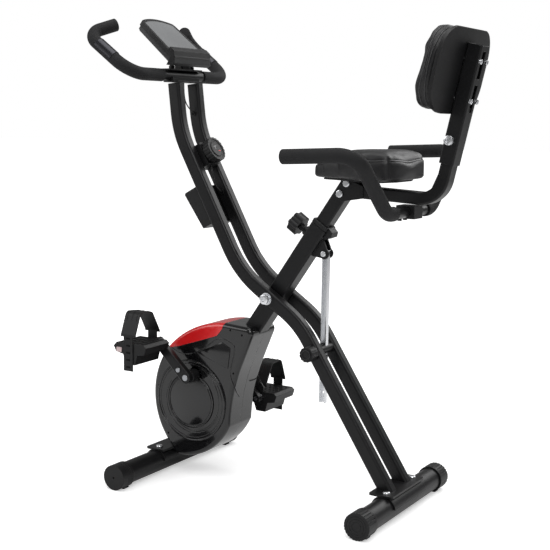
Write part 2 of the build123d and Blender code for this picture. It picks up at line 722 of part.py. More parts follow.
with BuildPart() as flywheel_shaft:
    with BuildSketch(side_plane(BELT_Y + 10.0)):
        with Locations(FLYWHEEL_AXIS):
            Circle(SHAFT_R)
    extrude(amount=BELT_Y + 10.0 + 50.0)
    with BuildSketch(side_plane(BELT_Y + PULLEY_WIDTH / 2)):
        with Locations(FLYWHEEL_AXIS):
            Circle(FLYWHEEL_PULLEY_R)
    extrude(amount=PULLEY_WIDTH)
save(flywheel_shaft.part, "flywheel_shaft")

MAGNET_ARC = (-35.0, 38.0)
with BuildPart() as magnet_bracket:
    with BuildSketch(side_plane(-27.5)):
        with BuildLine():
            outer_arc = CenterArc(FLYWHEEL_AXIS, 90.0, MAGNET_ARC[0], MAGNET_ARC[1] - MAGNET_ARC[0])
            inner_arc = CenterArc(FLYWHEEL_AXIS, 87.0, MAGNET_ARC[0], MAGNET_ARC[1] - MAGNET_ARC[0])
            Line(outer_arc @ 0, inner_arc @ 0)
            Line(outer_arc @ 1, inner_arc @ 1)
        make_face()
        with BuildLine():
            Polyline(
                polar(FLYWHEEL_AXIS, 90.0, MAGNET_ARC[1] - 6.0),
                polar(FLYWHEEL_AXIS, 87.0, MAGNET_ARC[1]),
                (MAGNET_PIVOT[0] - 8.0, MAGNET_PIVOT[1]),
                (MAGNET_PIVOT[0] + 8.0, MAGNET_PIVOT[1]),
                close=True,
            )
        make_face()
        with Locations(MAGNET_PIVOT):
            Circle(8.5)
            Circle(MAGNET_PIN_R + FIT, mode=Mode.SUBTRACT)
    extrude(amount=19.0)
    # magnet blocks on the inside of the arc
    for angle in (-26.0, -10.0, 6.0, 22.0):
        with BuildSketch(side_plane(-30.0)):
            with Locations(Location((*polar(FLYWHEEL_AXIS, 86.0, angle), 0), (0, 0, angle))):
                Rectangle(4.0, 16.0)
        extrude(amount=14.0)
save(magnet_bracket.part, "magnet_bracket")

# ---------------------------------------------------------------- pedals
SPINDLE_R = 6.0
with BuildPart() as pedal_spindles:
    for side, pedal in ((-1, PEDAL_LEFT), (1, PEDAL_RIGHT)):
        with BuildSketch(side_plane(side * (CRANK_INNER_Y + 1.0))):
            with Locations(pedal):
                Circle(SPINDLE_R)
        extrude(amount=-side * (PEDAL_Y + 40.0 - CRANK_INNER_Y))
        with BuildSketch(side_plane(side * CRANK_OUTER_Y)):
            with Locations(pedal):
                Circle(9.0)
        extrude(amount=-side * 6.0)

with BuildPart() as crank_hardware:
    add(crank_screws.part)
    add(pedal_spindles.part)
save(crank_hardware.part, "crank_hardware")

PEDAL_PROFILE = [
    (-54.0, 3.0),
    (-45.0, 13.0),
    (40.0, 13.0),
    (48.0, 6.0),
    (42.0, -11.0),
    (20.0, -15.0),
    (13.0, -40.0),
    (-15.0, -40.0),
    (-24.0, -15.0),
    (-46.0, -11.0),
]
STRAP_THICKNESS = 2.4
STRAP_WIDTH = 46.0
STRAP_TOP = 90.0


def pedal_body(side, pedal):
    """Weighted platform pedal that hangs level on its spindle, with tread bars on top."""
    with BuildPart() as body:
        with BuildSketch(side_plane(side * PEDAL_Y)):
            with BuildLine():
                Polyline(*[(pedal[0] + x, pedal[1] + z) for x, z in PEDAL_PROFILE], close=True)
            make_face()
        extrude(amount=PEDAL_WIDTH / 2, both=True)
        with BuildSketch(Plane.XY.offset(pedal[1] + 13.0)):
            with Locations((pedal[0] - 2.0, side * PEDAL_Y)):
                with GridLocations(13.0, 22.0, 6, 4):
                    Rectangle(4.0, 14.0, rotation=side * 25)
        extrude(amount=1.5)
        with BuildSketch(side_plane(0)):
            with Locations(pedal):
                Circle(SPINDLE_R + FIT)
        extrude(amount=-side * 300.0, mode=Mode.SUBTRACT)
    return body.part


def pedal_strap(side, pedal):
    """Rubber strap looped over the pedal from its outer edge to its inner edge."""
    outer = PEDAL_Y + PEDAL_WIDTH / 2 + 0.2 + STRAP_THICKNESS / 2
    inner = PEDAL_Y - PEDAL_WIDTH / 2 - 0.2 - STRAP_THICKNESS / 2
    points = [
        (outer, -56.0),
        (outer, 34.0),
        (outer - 22.0, STRAP_TOP),
        (inner + 30.0, STRAP_TOP - 4.0),
        (inner, 34.0),
        (inner, 9.0),
    ]
    with BuildPart() as strap:
        plane = Plane(origin=(pedal[0] - 6.0, 0, pedal[1]), x_dir=(0, side, 0), z_dir=(side, 0, 0))
        with BuildSketch(plane):
            with BuildLine():
                FilletPolyline(*points, radius=14.0)
            trace(line_width=STRAP_THICKNESS)
        extrude(amount=STRAP_WIDTH / 2, both=True)
        # the ends are narrower than the top
        for way in (-1, 1):
            with BuildSketch(side_plane(side * 60.0)):
                with Locations((pedal[0] - 6.0 + way * 26.0, pedal[1] - 30.0)):
                    Rectangle(24.0, 120.0)
            extrude(amount=-side * 200.0, mode=Mode.SUBTRACT)
    return strap.part


for side, pedal, word in ((-1, PEDAL_LEFT, "left"), (1, PEDAL_RIGHT, "right")):
    save(pedal_body(side, pedal), f"pedal_body_{word}")
    save(pedal_strap(side, pedal), f"pedal_strap_{word}")

# ---------------------------------------------------------------- seat post, arm and saddle
ARM_BOLTS = (205.0, 236.0)
with BuildPart() as seat_post:
    with BuildSketch(tube_plane(POST_BOTTOM)):
        RectangleRounded(POST_SIZE, POST_SIZE, 4.0)
        Rectangle(POST_SIZE - 5.0, POST_SIZE - 5.0, mode=Mode.SUBTRACT)
    extrude(amount=POST_TOP - POST_BOTTOM)
    with BuildSketch(side_plane(0)):
        with Locations(*[tube_point(along) for along in ARM_BOLTS]):
            Circle(4.0 + FIT)
    extrude(amount=40.0, both=True, mode=Mode.SUBTRACT)
    split(bisect_by=Plane.XY.offset(SADDLE_BOTTOM - 6.2), keep=Keep.BOTTOM)
save(seat_post.part, "seat_post")

with BuildPart() as seat_arm:
    with BuildLine() as arm_path:
        FilletPolyline(*[side_point(point, 0) for point in ARM_PATH], radius=55.0)
    with BuildSketch(Plane(origin=arm_path.line @ 0, x_dir=(0, 1, 0), z_dir=arm_path.line % 0)):
        RectangleRounded(ARM_WIDTH, ARM_DEPTH, 5.0)
        RectangleRounded(ARM_WIDTH - 4.0, ARM_DEPTH - 4.0, 3.0, mode=Mode.SUBTRACT)
    sweep(path=arm_path.line)
    # cheek plates beside the post
    for side in (-1, 1):
        with BuildSketch(side_plane(side * (POST_SIZE / 2 + 0.1))):
            with BuildLine():
                Polyline(
                    tube_point(193.0, 12.0),
                    tube_point(243.0, 12.0),
                    (196.0, 769.5),
                    (196.0, 741.5),
                    tube_point(193.0, -14.0),
                    close=True,
                )
            make_face()
        extrude(amount=-side * 3.0)
    with BuildSketch(tube_plane(150.0)):
        Rectangle(POST_SIZE + 0.2, POST_SIZE + 0.2)
    extrude(amount=120.0, mode=Mode.SUBTRACT)
    with BuildSketch(side_plane(0)):
        with Locations(*[tube_point(along) for along in ARM_BOLTS]):
            Circle(4.0 + FIT)
    extrude(amount=40.0, both=True, mode=Mode.SUBTRACT)
    with BuildSketch(side_plane(0)):
        with Locations(BACK_BOLT):
            Circle(5.0 + FIT)
    extrude(amount=40.0, both=True, mode=Mode.SUBTRACT)
    with BuildSketch(Plane.XY.offset(SADDLE_BOTTOM - 6.2)):
        with Locations((170.0, 0.0)):
            Rectangle(140.0, 60.0)
    extrude(amount=20.0, mode=Mode.SUBTRACT)
save(seat_arm.part, "seat_arm")

with BuildPart() as saddle_pan:
    with BuildSketch(Plane.XY.offset(SADDLE_BOTTOM - 4.0)):
        with BuildLine():
            Polyline(
                (88.0, 0.0),
                (96.0, 28.0),
                (150.0, 48.0),
                (215.0, 80.0),
                (274.0, 84.0),
                (290.0, 40.0),
                (290.0, 0.0),
            )
            mirror(about=Plane.XZ)
        make_face()
    extrude(amount=3.8)
    with BuildSketch(Plane.XY.offset(SADDLE_BOTTOM - 4.0)):
        with Locations((170.0, 0.0)):
            Rectangle(60.0, 30.0)
    extrude(amount=-2.0)
save(saddle_pan.part, "saddle_pan")

with BuildSketch() as saddle_outline:
    with BuildLine():
        Polyline(
            (64.0, -34.0),
            (150.0, -64.0),
            (222.0, -113.0),
            (300.0, -104.0),
            (308.0, -60.0),
            (308.0, 60.0),
            (300.0, 104.0),
            (222.0, 113.0),
            (150.0, 64.0),
            (64.0, 34.0),
            close=True,
        )
    make_face()
    fillet(saddle_outline.vertices(), 20.0)

SADDLE_SHOULDER = 14.0
with BuildPart() as saddle_cushion:
    with BuildSketch(Plane.XY.offset(SADDLE_BOTTOM)):
        add(saddle_outline.sketch)
    extrude(amount=SADDLE_TOP - SADDLE_BOTTOM - SADDLE_SHOULDER)
    with BuildSketch(Plane.XY.offset(SADDLE_TOP - SADDLE_SHOULDER)):
        add(saddle_outline.sketch)
        offset(amount=-6.0, kind=Kind.INTERSECTION, mode=Mode.REPLACE)
    extrude(amount=SADDLE_SHOULDER)
    with BuildSketch(side_plane(0)):
        with BuildLine():
            Polyline((40.0, 812.0), (64.0, 820.0), (160.0, 856.0), (40.0, 870.0), close=True)
        make_face()
    extrude(amount=80.0, both=True, mode=Mode.SUBTRACT)
save(saddle_cushion.part, "saddle_cushion")

# ---------------------------------------------------------------- seat side handlebar
SIDE_BAR = [
    (130.0, -264.0, 842.2),
    (305.0, -264.0, 850.0),
    (305.0, -116.0, 716.0),
    (305.0, 116.0, 716.0),
    (305.0, 264.0, 850.0),
    (130.0, 264.0, 842.2),
]
with BuildPart() as seat_handlebar:
    with BuildLine() as side_path:
        FilletPolyline(*SIDE_BAR, radius=[45.0, 60.0, 60.0, 45.0])
    with BuildSketch(Plane(origin=side_path.line @ 0, z_dir=side_path.line % 0)):
        Circle(BAR_R)
    sweep(path=side_path.line)
save(seat_handlebar.part, "seat_handlebar")

SIDE_GRIP_R = 16.5
with BuildPart() as seat_grips:
    for side in (-1, 1):
        with BuildLine() as grip_path:
            FilletPolyline(
                (125.0, side * 264.0, 842.0),
                (305.0, side * 264.0, 850.0),
                (305.0, side * 116.0, 716.0),
                (305.0, side * 82.0, 716.0),
                radius=[45.0, 60.0],
            )
        with BuildSketch(Plane(origin=grip_path.line @ 0, z_dir=grip_path.line % 0)):
            Circle(SIDE_GRIP_R)
        sweep(path=grip_path.line)
    with BuildSketch(Plane(origin=side_path.line @ 0, z_dir=side_path.line % 0)):
        Circle(BAR_R + FIT)
    sweep(path=side_path.line, mode=Mode.SUBTRACT)
save(seat_grips.part, "seat_grips")

with BuildPart() as seat_clamp:
    with BuildSketch(Plane(origin=(305.0, 0, 716.0), x_dir=(1, 0, 0), z_dir=(0, -1, 0))):
        Rectangle(46.0, 30.0)
        Circle(BAR_R + FIT, mode=Mode.SUBTRACT)
    extrude(amount=22.0, both=True)
    with BuildSketch(Plane.XY.offset(733.0)):
        with Locations((305.0, 0.0)):
            Rectangle(120.0, 120.0)
    extrude(amount=40.0, mode=Mode.SUBTRACT)
    with BuildSketch(Plane.XY.offset(701.0)):
        with Locations((288.0, -14.0), (288.0, 14.0)):
            Circle(5.0)
    extrude(amount=-6.0)
save(seat_clamp.part, "seat_clamp")

# ---------------------------------------------------------------- back support
LEAN = (sin(radians(BACK_LEAN)), cos(radians(BACK_LEAN)))


def back_point(up, behind=0.0):
    """Side-view point at a height along the channel axis; behind is towards the rear."""
    return (
        CHANNEL_BOTTOM[0] + LEAN[0] * up + LEAN[1] * behind,
        CHANNEL_BOTTOM[1] + LEAN[1] * up - LEAN[0] * behind,
    )


def back_plane(up, behind=0.0):
    """Cross-section plane of the channel: local x is the bike's y, local y is frontwards."""
    x, z = back_point(up, behind)
    return Plane(origin=(x, 0, z), x_dir=(0, 1, 0), z_dir=(LEAN[0], 0, LEAN[1]))


def back_face_plane(up, behind):
    """Plane facing the rear: local x is the rider's left to right, local y is up the channel."""
    x, z = back_point(up, behind)
    return Plane(origin=(x, 0, z), x_dir=(0, 1, 0), z_dir=(LEAN[1], 0, -LEAN[0]))


BACK_SCREWS = [(-17.0, 145.0), (17.0, 145.0), (-17.0, 232.0), (17.0, 232.0)]
with BuildPart() as backrest_bracket:
    with BuildSketch(back_plane(0.0)):
        RectangleRounded(CHANNEL_WIDTH, CHANNEL_DEPTH, 4.0)
        Rectangle(ARM_WIDTH + 1.0, ARM_DEPTH + 1.0, mode=Mode.SUBTRACT)
    extrude(amount=CHANNEL_LENGTH)
    with BuildSketch(back_face_plane(0.0, 8.0)):
        with Locations((0, 150.0)):
            Rectangle(18.0, 60.0)
        with Locations((0, 224.0)):
            Rectangle(18.0, 60.0)
    extrude(amount=20.0, mode=Mode.SUBTRACT)
    with BuildSketch(side_plane(0)):
        with Locations(BACK_BOLT):
            Circle(5.0 + FIT)
    extrude(amount=40.0, both=True, mode=Mode.SUBTRACT)
    with BuildSketch(back_face_plane(0.0, -30.0)):
        with Locations(*BACK_SCREWS):
            Circle(2.5 + FIT)
    extrude(amount=60.0, mode=Mode.SUBTRACT)
save(backrest_bracket.part, "backrest_bracket")

PAD_MIDDLE = 203.0
BOARD_THICKNESS = 8.0
CUSHION_THICKNESS = 38.0


def pad_slab(front, back, corner, inset):
    """Slab between two distances in front of the channel, curved round the rider's back."""
    with BuildPart() as slab:
        with BuildSketch(back_plane(PAD_MIDDLE - PAD_HEIGHT / 2 - 10.0)):
            with Locations((0, PAD_CURVE)):
                Circle(PAD_CURVE - back)
                Circle(PAD_CURVE - front, mode=Mode.SUBTRACT)
            with Locations((0, 60.0)):
                Rectangle(PAD_WIDTH + 20.0, 160.0, mode=Mode.INTERSECT)
        extrude(amount=PAD_HEIGHT + 20.0)
        with BuildSketch(back_face_plane(PAD_MIDDLE, -160.0)):
            RectangleRounded(PAD_WIDTH - 2 * inset, PAD_HEIGHT - 2 * inset, corner)
        extrude(amount=240.0, mode=Mode.INTERSECT)
    return slab


CHANNEL_FRONT = CHANNEL_DEPTH / 2
with BuildPart() as backrest_board:
    add(pad_slab(CHANNEL_FRONT + BOARD_THICKNESS, CHANNEL_FRONT + 0.1, 68.0, 6.0).part)
    with BuildSketch(back_face_plane(0.0, -60.0)):
        with Locations(*BACK_SCREWS):
            Circle(2.5 + FIT)
    extrude(amount=80.0, mode=Mode.SUBTRACT)
save(backrest_board.part, "backrest_board")

cushion_back = CHANNEL_FRONT + BOARD_THICKNESS + GAP
cushion = pad_slab(cushion_back + CUSHION_THICKNESS, cushion_back, 74.0, 0.0)
with BuildPart() as backrest_cushion:
    add(cushion.part)
save(backrest_cushion.part, "backrest_cushion")

with BuildPart() as seat_screws:
    # two bolts through the post and one through the backrest channel
    with BuildSketch(side_plane(0)):
        with Locations(*[tube_point(along) for along in ARM_BOLTS]):
            Circle(4.0)
    extrude(amount=25.0, both=True)
    with BuildSketch(side_plane(0)):
        with Locations(BACK_BOLT):
            Circle(5.0)
    extrude(amount=25.0, both=True)
    for side in (-1, 1):
        with BuildSketch(side_plane(side * (POST_SIZE / 2 + 3.2))):
            with Locations(*[tube_point(along) for along in ARM_BOLTS]):
                Circle(7.0)
        extrude(amount=-side * 6.0)
        with BuildSketch(side_plane(side * (CHANNEL_WIDTH / 2 + 0.05))):
            with Locations(BACK_BOLT):
                Circle(11.0)
        extrude(amount=-side * 5.0)
    # four screws through the channel into the board
    with BuildSketch(back_face_plane(0.0, CHANNEL_DEPTH / 2 + 0.05)):
        with Locations(*BACK_SCREWS):
            Circle(5.0)
    extrude(amount=3.0)
    with BuildSketch(back_face_plane(0.0, CHANNEL_DEPTH / 2 + 0.05)):
        with Locations(*BACK_SCREWS):
            Circle(2.5)
    extrude(amount=-CHANNEL_DEPTH - BOARD_THICKNESS + 1.0)
save(seat_screws.part, "seat_screws")

# ---------------------------------------------------------------- front handlebar
BAR_TIP = (-438.0, 146.0, 1146.0)
BAR_TOP_CORNER = (-468.0, 212.0, 1122.0)
BAR_BASE_CORNER = (BAR_X, 205.0, BAR_Z)
GRIP_START_Y = 84.0
BAR_BOLT_Y = 41.0


def mirrored(point):
    """The same point on the rider's left."""
    return (point[0], -point[1], point[2])


with BuildPart() as handlebar_tube:
    with BuildLine() as bar_path:
        FilletPolyline(
            mirrored(BAR_TIP),
            mirrored(BAR_TOP_CORNER),
            mirrored(BAR_BASE_CORNER),
            BAR_BASE_CORNER,
            BAR_TOP_CORNER,
            BAR_TIP,
            radius=[30.0, 55.0, 55.0, 30.0],
        )
    with BuildSketch(Plane(origin=bar_path.line @ 0, z_dir=bar_path.line % 0)):
        Circle(BAR_R)
    sweep(path=bar_path.line)
    with BuildSketch(Plane.XY.offset(BAR_Z)):
        with Locations((BAR_X, -BAR_BOLT_Y), (BAR_X, BAR_BOLT_Y)):
            Circle(4.0 + FIT)
    extrude(amount=20.0, both=True, mode=Mode.SUBTRACT)
save(handlebar_tube.part, "handlebar_tube")


with BuildPart() as handlebar_grips:
    # a foam sleeve on each side, from beside the clamp to just past the end of the bar
    for side in (-1, 1):
        tip = Vector(BAR_TIP[0], side * BAR_TIP[1], BAR_TIP[2])
        corner = Vector(BAR_TOP_CORNER[0], side * BAR_TOP_CORNER[1], BAR_TOP_CORNER[2])
        end = tip + (tip - corner).normalized() * 5.0
        with BuildLine() as grip_path:
            FilletPolyline(
                (BAR_X, side * GRIP_START_Y, BAR_Z),
                (BAR_X, side * BAR_BASE_CORNER[1], BAR_Z),
                corner,
                end,
                radius=[55.0, 30.0],
            )
        with BuildSketch(Plane(origin=grip_path.line @ 0, z_dir=grip_path.line % 0)):
            Circle(GRIP_R)
        sweep(path=grip_path.line)
    with BuildSketch(Plane(origin=bar_path.line @ 0, z_dir=bar_path.line % 0)):
        Circle(BAR_R + FIT)
    sweep(path=bar_path.line, mode=Mode.SUBTRACT)
save(handlebar_grips.part, "handlebar_grips")

PLATE_LENGTH = 56.0
with BuildPart() as pulse_plates:
    for side in (-1, 1):
        base = Vector(BAR_X, side * BAR_BASE_CORNER[1], BAR_Z)
        corner = Vector(BAR_TOP_CORNER[0], side * BAR_TOP_CORNER[1], BAR_TOP_CORNER[2])
        along = (corner - base).normalized()
        middle = base + along * 88.0
        plane = Plane(origin=middle - along * (PLATE_LENGTH / 2), x_dir=(0, 1, 0), z_dir=along)
        with BuildSketch(plane):
            Circle(GRIP_R + 1.2)
            Circle(GRIP_R + 0.2, mode=Mode.SUBTRACT)
            with Locations((0, 19.0)):
                Rectangle(60.0, 30.0, mode=Mode.SUBTRACT)
        extrude(amount=PLATE_LENGTH)
save(pulse_plates.part, "pulse_plates")

RAIL_TOP_Z = 1008.0
with BuildPart() as handlebar_mount:
    with BuildSketch(Plane.XY.offset(RAIL_TOP_Z + 2.5)):
        with Locations((BAR_X + 8.0, 0.0)):
            RectangleRounded(46.0, 116.0, 4.0)
    extrude(amount=3.5)
    with BuildSketch(Plane(origin=(BAR_X, 0, BAR_Z), x_dir=(1, 0, 0), z_dir=(0, -1, 0))):
        with Locations((0, -9.0)):
            Rectangle(30.0, 12.0)
    extrude(amount=56.0, both=True)
    with BuildSketch(Plane(origin=(BAR_X, 0, BAR_Z), x_dir=(1, 0, 0), z_dir=(0, -1, 0))):
        Circle(BAR_R + FIT)
    extrude(amount=70.0, both=True, mode=Mode.SUBTRACT)
    with BuildSketch(Plane.XY.offset(BAR_Z)):
        with Locations((BAR_X, -BAR_BOLT_Y), (BAR_X, BAR_BOLT_Y)):
            Circle(4.0 + FIT)
    extrude(amount=40.0, both=True, mode=Mode.SUBTRACT)
save(handlebar_mount.part, "handlebar_mount")

with BuildPart() as handlebar_clamp:
    with BuildSketch(Plane.XY.offset(BAR_Z + BAR_R + FIT)):
        with Locations((BAR_X + 2.0, 0.0)):
            RectangleRounded(36.0, 132.0, 6.0)
    extrude(amount=4.0)
    # acorn nuts and their bolts
    with BuildSketch(Plane.XY.offset(BAR_Z + BAR_R + 4.05)):
        with Locations((BAR_X, -BAR_BOLT_Y), (BAR_X, BAR_BOLT_Y)):
            RegularPolygon(8.0, 6)
    extrude(amount=7.0)
    with BuildSketch(Plane.XY.offset(BAR_Z + BAR_R + 11.0)):
        with Locations((BAR_X, -BAR_BOLT_Y), (BAR_X, BAR_BOLT_Y)):
            Circle(6.0)
    extrude(amount=5.0, taper=18.0)
    with BuildSketch(Plane.XY.offset(BAR_Z + BAR_R + 2.0)):
        with Locations((BAR_X, -BAR_BOLT_Y), (BAR_X, BAR_BOLT_Y)):
            Circle(4.0)
    extrude(amount=-31.0)
save(handlebar_clamp.part, "handlebar_clamp")

# ---------------------------------------------------------------- console
CONSOLE_BOTTOM = (-319.0, 1051.0)
TILT = (cos(radians(CONSOLE_TILT)), sin(radians(CONSOLE_TILT)))


def console_plane(height):
    """Plane parallel to the console face, local y up its slope, local x to the rider's right."""
    x = CONSOLE_BOTTOM[0] + TILT[1] * height
    z = CONSOLE_BOTTOM[1] + TILT[0] * height
    return Plane(origin=(x, 0, z), x_dir=(0, 1, 0), z_dir=(TILT[1], 0, TILT[0]))


with BuildSketch() as console_outline:
    with BuildLine():
        Polyline(
            (-66.0, CONSOLE_LENGTH - 6.0),
            (-76.0, 0.0),
            (76.0, 0.0),
            (66.0, CONSOLE_LENGTH - 6.0),
        )
        ThreePointArc(
            (-66.0, CONSOLE_LENGTH - 6.0),
            (0.0, CONSOLE_LENGTH + 8.0),
            (66.0, CONSOLE_LENGTH - 6.0),
        )
    make_face()
    fillet(console_outline.vertices().group_by(Axis.Y)[1], 12.0)

with BuildSketch() as console_ledge:
    with BuildLine():
        Polyline(
            (-330.0, 1052.0),
            (-312.0, 1050.0),
            (-304.0, 1056.0),
            (-306.0, 1086.0),
            (-318.0, 1096.0),
            (-326.0, 1090.0),
            (-314.0, 1077.0),
            close=True,
        )
    make_face()

with BuildSketch() as ledge_space:
    add(console_ledge.sketch)
    offset(amount=0.2, kind=Kind.INTERSECTION, mode=Mode.REPLACE)

with BuildPart() as console_shell:
    with BuildSketch(console_plane(0.0)):
        add(console_outline.sketch)
        offset(amount=-3.0, mode=Mode.REPLACE)
    extrude(amount=14.0)
    tilt_axis = Axis(origin=(0, 0, 0), direction=(TILT[1], 0, TILT[0]))
    chamfer(console_shell.faces().sort_by(tilt_axis)[0].edges(), 4.0)
    with BuildSketch(console_plane(10.0)):
        with Locations((0, 118.0)):
            Rectangle(36.0, 14.0)
    extrude(amount=-18.0)
    with BuildSketch(side_plane(0)):
        add(ledge_space.sketch)
    extrude(amount=90.0, both=True, mode=Mode.SUBTRACT)
save(console_shell.part, "console_shell")

SCREEN_INSET = 9.0
with BuildPart() as console_bezel:
    with BuildSketch(console_plane(14.1)):
        add(console_outline.sketch)
    extrude(amount=12.0)
    with BuildSketch(console_plane(24.0)):
        add(console_outline.sketch)
        offset(amount=-SCREEN_INSET, mode=Mode.REPLACE)
    extrude(amount=4.0, mode=Mode.SUBTRACT)
    # ledge along the lower edge
    with BuildSketch(side_plane(0)):
        add(console_ledge.sketch)
    extrude(amount=77.0, both=True)
save(console_bezel.part, "console_bezel")

with BuildPart() as console_screen:
    with BuildSketch(console_plane(24.1)):
        add(console_outline.sketch)
        offset(amount=-SCREEN_INSET - 0.2, mode=Mode.REPLACE)
    extrude(amount=1.8)
    with BuildSketch(side_plane(0)):
        with Locations((-310.0, 1075.0)):
            Rectangle(34.0, 50.0)
    extrude(amount=80.0, both=True, mode=Mode.SUBTRACT)
save(console_screen.part, "console_screen")

with BuildPart() as console_stem:
    with BuildSketch(Plane.XY.offset(BAR_Z + BAR_R + 4.1)):
        with Locations((BAR_X + 2.0, 0.0)):
            RectangleRounded(26.0, 34.0, 5.0)
    extrude(amount=30.0)
    with BuildSketch(side_plane(0)):
        with BuildLine():
            Polyline(
                (CONSOLE_BOTTOM[0] + 40.0 * TILT[0], CONSOLE_BOTTOM[1] - 40.0 * TILT[1] - 0.2),
                (CONSOLE_BOTTOM[0] - 90.0 * TILT[0], CONSOLE_BOTTOM[1] + 90.0 * TILT[1] - 0.2),
                (CONSOLE_BOTTOM[0] - 90.0 * TILT[0], CONSOLE_BOTTOM[1] + 160.0),
                (CONSOLE_BOTTOM[0] + 40.0, CONSOLE_BOTTOM[1] + 160.0),
                close=True,
            )
        make_face()
    extrude(amount=40.0, both=True, mode=Mode.SUBTRACT)
    with BuildSketch(side_plane(0)):
        add(ledge_space.sketch)
    extrude(amount=40.0, both=True, mode=Mode.SUBTRACT)
save(console_stem.part, "console_stem")

# ---------------------------------------------------------------- resistance control
RAIL_SLOPE = 61.4
NORMAL = (sin(radians(RAIL_SLOPE)), cos(radians(RAIL_SLOPE)))
TENSION_CENTRE = (-262.0, 829.0)


def tension_plane(out):
    """Plane facing the rider, square to the rails, at a distance out from the rails' rear."""
    x = TENSION_CENTRE[0] + NORMAL[0] * out
    z = TENSION_CENTRE[1] + NORMAL[1] * out
    return Plane(origin=(x, 0, z), x_dir=(0, 1, 0), z_dir=(NORMAL[0], 0, NORMAL[1]))


TENSION_POST_R = 6.0
with BuildPart() as tension_mount:
    with BuildSketch(tension_plane(-26.0)):
        RectangleRounded(2 * (RAIL_INNER_Y - 0.2), 60.0, 5.0)
    extrude(amount=38.0)
    with BuildSketch(tension_plane(12.0)):
        Circle(24.0)
        Circle(TENSION_POST_R + FIT, mode=Mode.SUBTRACT)
    extrude(amount=4.0)
    with BuildSketch(tension_plane(20.0)):
        Circle(TENSION_POST_R + FIT)
    extrude(amount=-30.0, mode=Mode.SUBTRACT)
save(tension_mount.part, "tension_mount")

with BuildPart() as tension_knob:
    with BuildSketch(tension_plane(16.3)):
        Circle(32.0)
        with PolarLocations(33.0, 20):
            Circle(2.6, mode=Mode.SUBTRACT)
    extrude(amount=20.0)
    with BuildSketch(tension_plane(36.3)):
        Circle(26.0)
        Circle(21.0, mode=Mode.SUBTRACT)
    extrude(amount=-1.5, mode=Mode.SUBTRACT)
    with BuildSketch(tension_plane(16.3)):
        Circle(TENSION_POST_R)
    extrude(amount=-24.0)
save(tension_knob.part, "tension_knob")

LEAD_ENTRY = (-320.0, RAIL_INNER_Y - 1.4, 934.0)
CABLE_ENTRY = (-232.0, RAIL_INNER_Y - 1.2, 736.0)
LEAD_ROUTE = [(-333.0, 0.0, 1010.0), (-333.0, 0.0, 978.0), (-328.0, 7.0, 950.0), LEAD_ENTRY]
CABLE_ROUTE = [(-247.4, 0.0, 801.6), (-239.0, 0.0, 768.0), (-235.0, 8.0, 746.0), CABLE_ENTRY]


def cord_radii(route):
    """Largest even bend radius at each inner point of a cord's route."""
    radii = []
    for before, point, after in zip(route, route[1:], route[2:]):
        come = Vector(point) - Vector(before)
        leave = Vector(after) - Vector(point)
        turn = radians(come.get_angle(leave))
        radii.append(0.45 * min(come.length, leave.length) / (sin(turn / 2) / cos(turn / 2)))
    return radii


def cord(route, radius):
    """Round cord along straight runs joined by arcs."""
    with BuildPart() as tube:
        with BuildLine() as path:
            FilletPolyline(*route, radius=cord_radii(route))
        with BuildSketch(Plane(origin=path.line @ 0, z_dir=path.line % 0)):
            Circle(radius)
        sweep(path=path.line)
    return tube.part


CABLE_R = 2.0
LEAD_R = 1.5
save(cord(CABLE_ROUTE, CABLE_R), "tension_cable")
save(cord(LEAD_ROUTE, LEAD_R), "sensor_lead")

with BuildPart() as cable_grommets:
    for entry, radius in ((CABLE_ENTRY, CABLE_R), (LEAD_ENTRY, LEAD_R)):
        with BuildSketch(side_plane(RAIL_INNER_Y)):
            with Locations((entry[0], entry[2])):
                Circle(radius + 4.5)
                Circle(radius + 3.0, mode=Mode.SUBTRACT)
        extrude(amount=3.0)
save(cable_grommets.part, "cable_grommets")

BOX_HALF_WIDTH = 45.0
with BuildPart() as cable_box:
    with BuildSketch(side_plane(0)):
        with BuildLine():
            Polyline((-299.0, 731.0), (-260.8, 751.8), (-211.7, 661.8), (-239.0, 647.0), close=True)
        make_face()
    extrude(amount=BOX_HALF_WIDTH, both=True)
    fillet(cable_box.edges().filter_by(Axis.Y).group_by(Axis.X)[0], 6.0)
save(cable_box.part, "cable_box")
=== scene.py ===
"""Folding exercise bike: finishes, padded pieces, cords, small hardware and a plain studio."""

import json
import logging
import math
from dataclasses import dataclass, field
from enum import Enum

import bpy
from mathutils import Matrix, Vector
from mathutils.bvhtree import BVHTree
from mathutils.kdtree import KDTree


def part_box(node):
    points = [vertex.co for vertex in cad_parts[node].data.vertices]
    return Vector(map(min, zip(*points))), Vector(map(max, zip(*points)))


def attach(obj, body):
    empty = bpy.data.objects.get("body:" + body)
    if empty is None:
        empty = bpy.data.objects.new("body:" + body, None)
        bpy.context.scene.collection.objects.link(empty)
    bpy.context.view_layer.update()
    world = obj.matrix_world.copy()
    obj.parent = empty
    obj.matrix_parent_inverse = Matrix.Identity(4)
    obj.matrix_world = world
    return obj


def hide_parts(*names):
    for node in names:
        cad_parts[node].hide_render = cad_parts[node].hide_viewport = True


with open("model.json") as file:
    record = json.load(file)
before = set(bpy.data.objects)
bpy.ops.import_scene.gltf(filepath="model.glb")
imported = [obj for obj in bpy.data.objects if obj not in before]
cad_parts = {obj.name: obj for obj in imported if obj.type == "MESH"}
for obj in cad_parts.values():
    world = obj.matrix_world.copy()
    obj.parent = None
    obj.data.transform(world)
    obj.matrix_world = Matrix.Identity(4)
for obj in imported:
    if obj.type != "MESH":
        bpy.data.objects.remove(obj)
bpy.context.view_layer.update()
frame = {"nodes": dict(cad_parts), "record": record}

LOG = logging.getLogger("exercise_bike")

DUST_COLOUR = (0.42, 0.40, 0.38, 1.0)
TINT_SPREAD = 0.18
CLOTH_FRAMES = 20
SEAM_GAP = 0.0025
SEAM_PASSES = 60
PIPING_PASSES = 40
PIPING_LIFT = 0.0004
PIPING_RADIUS = 0.0017
MERGE_GAP = 0.00001

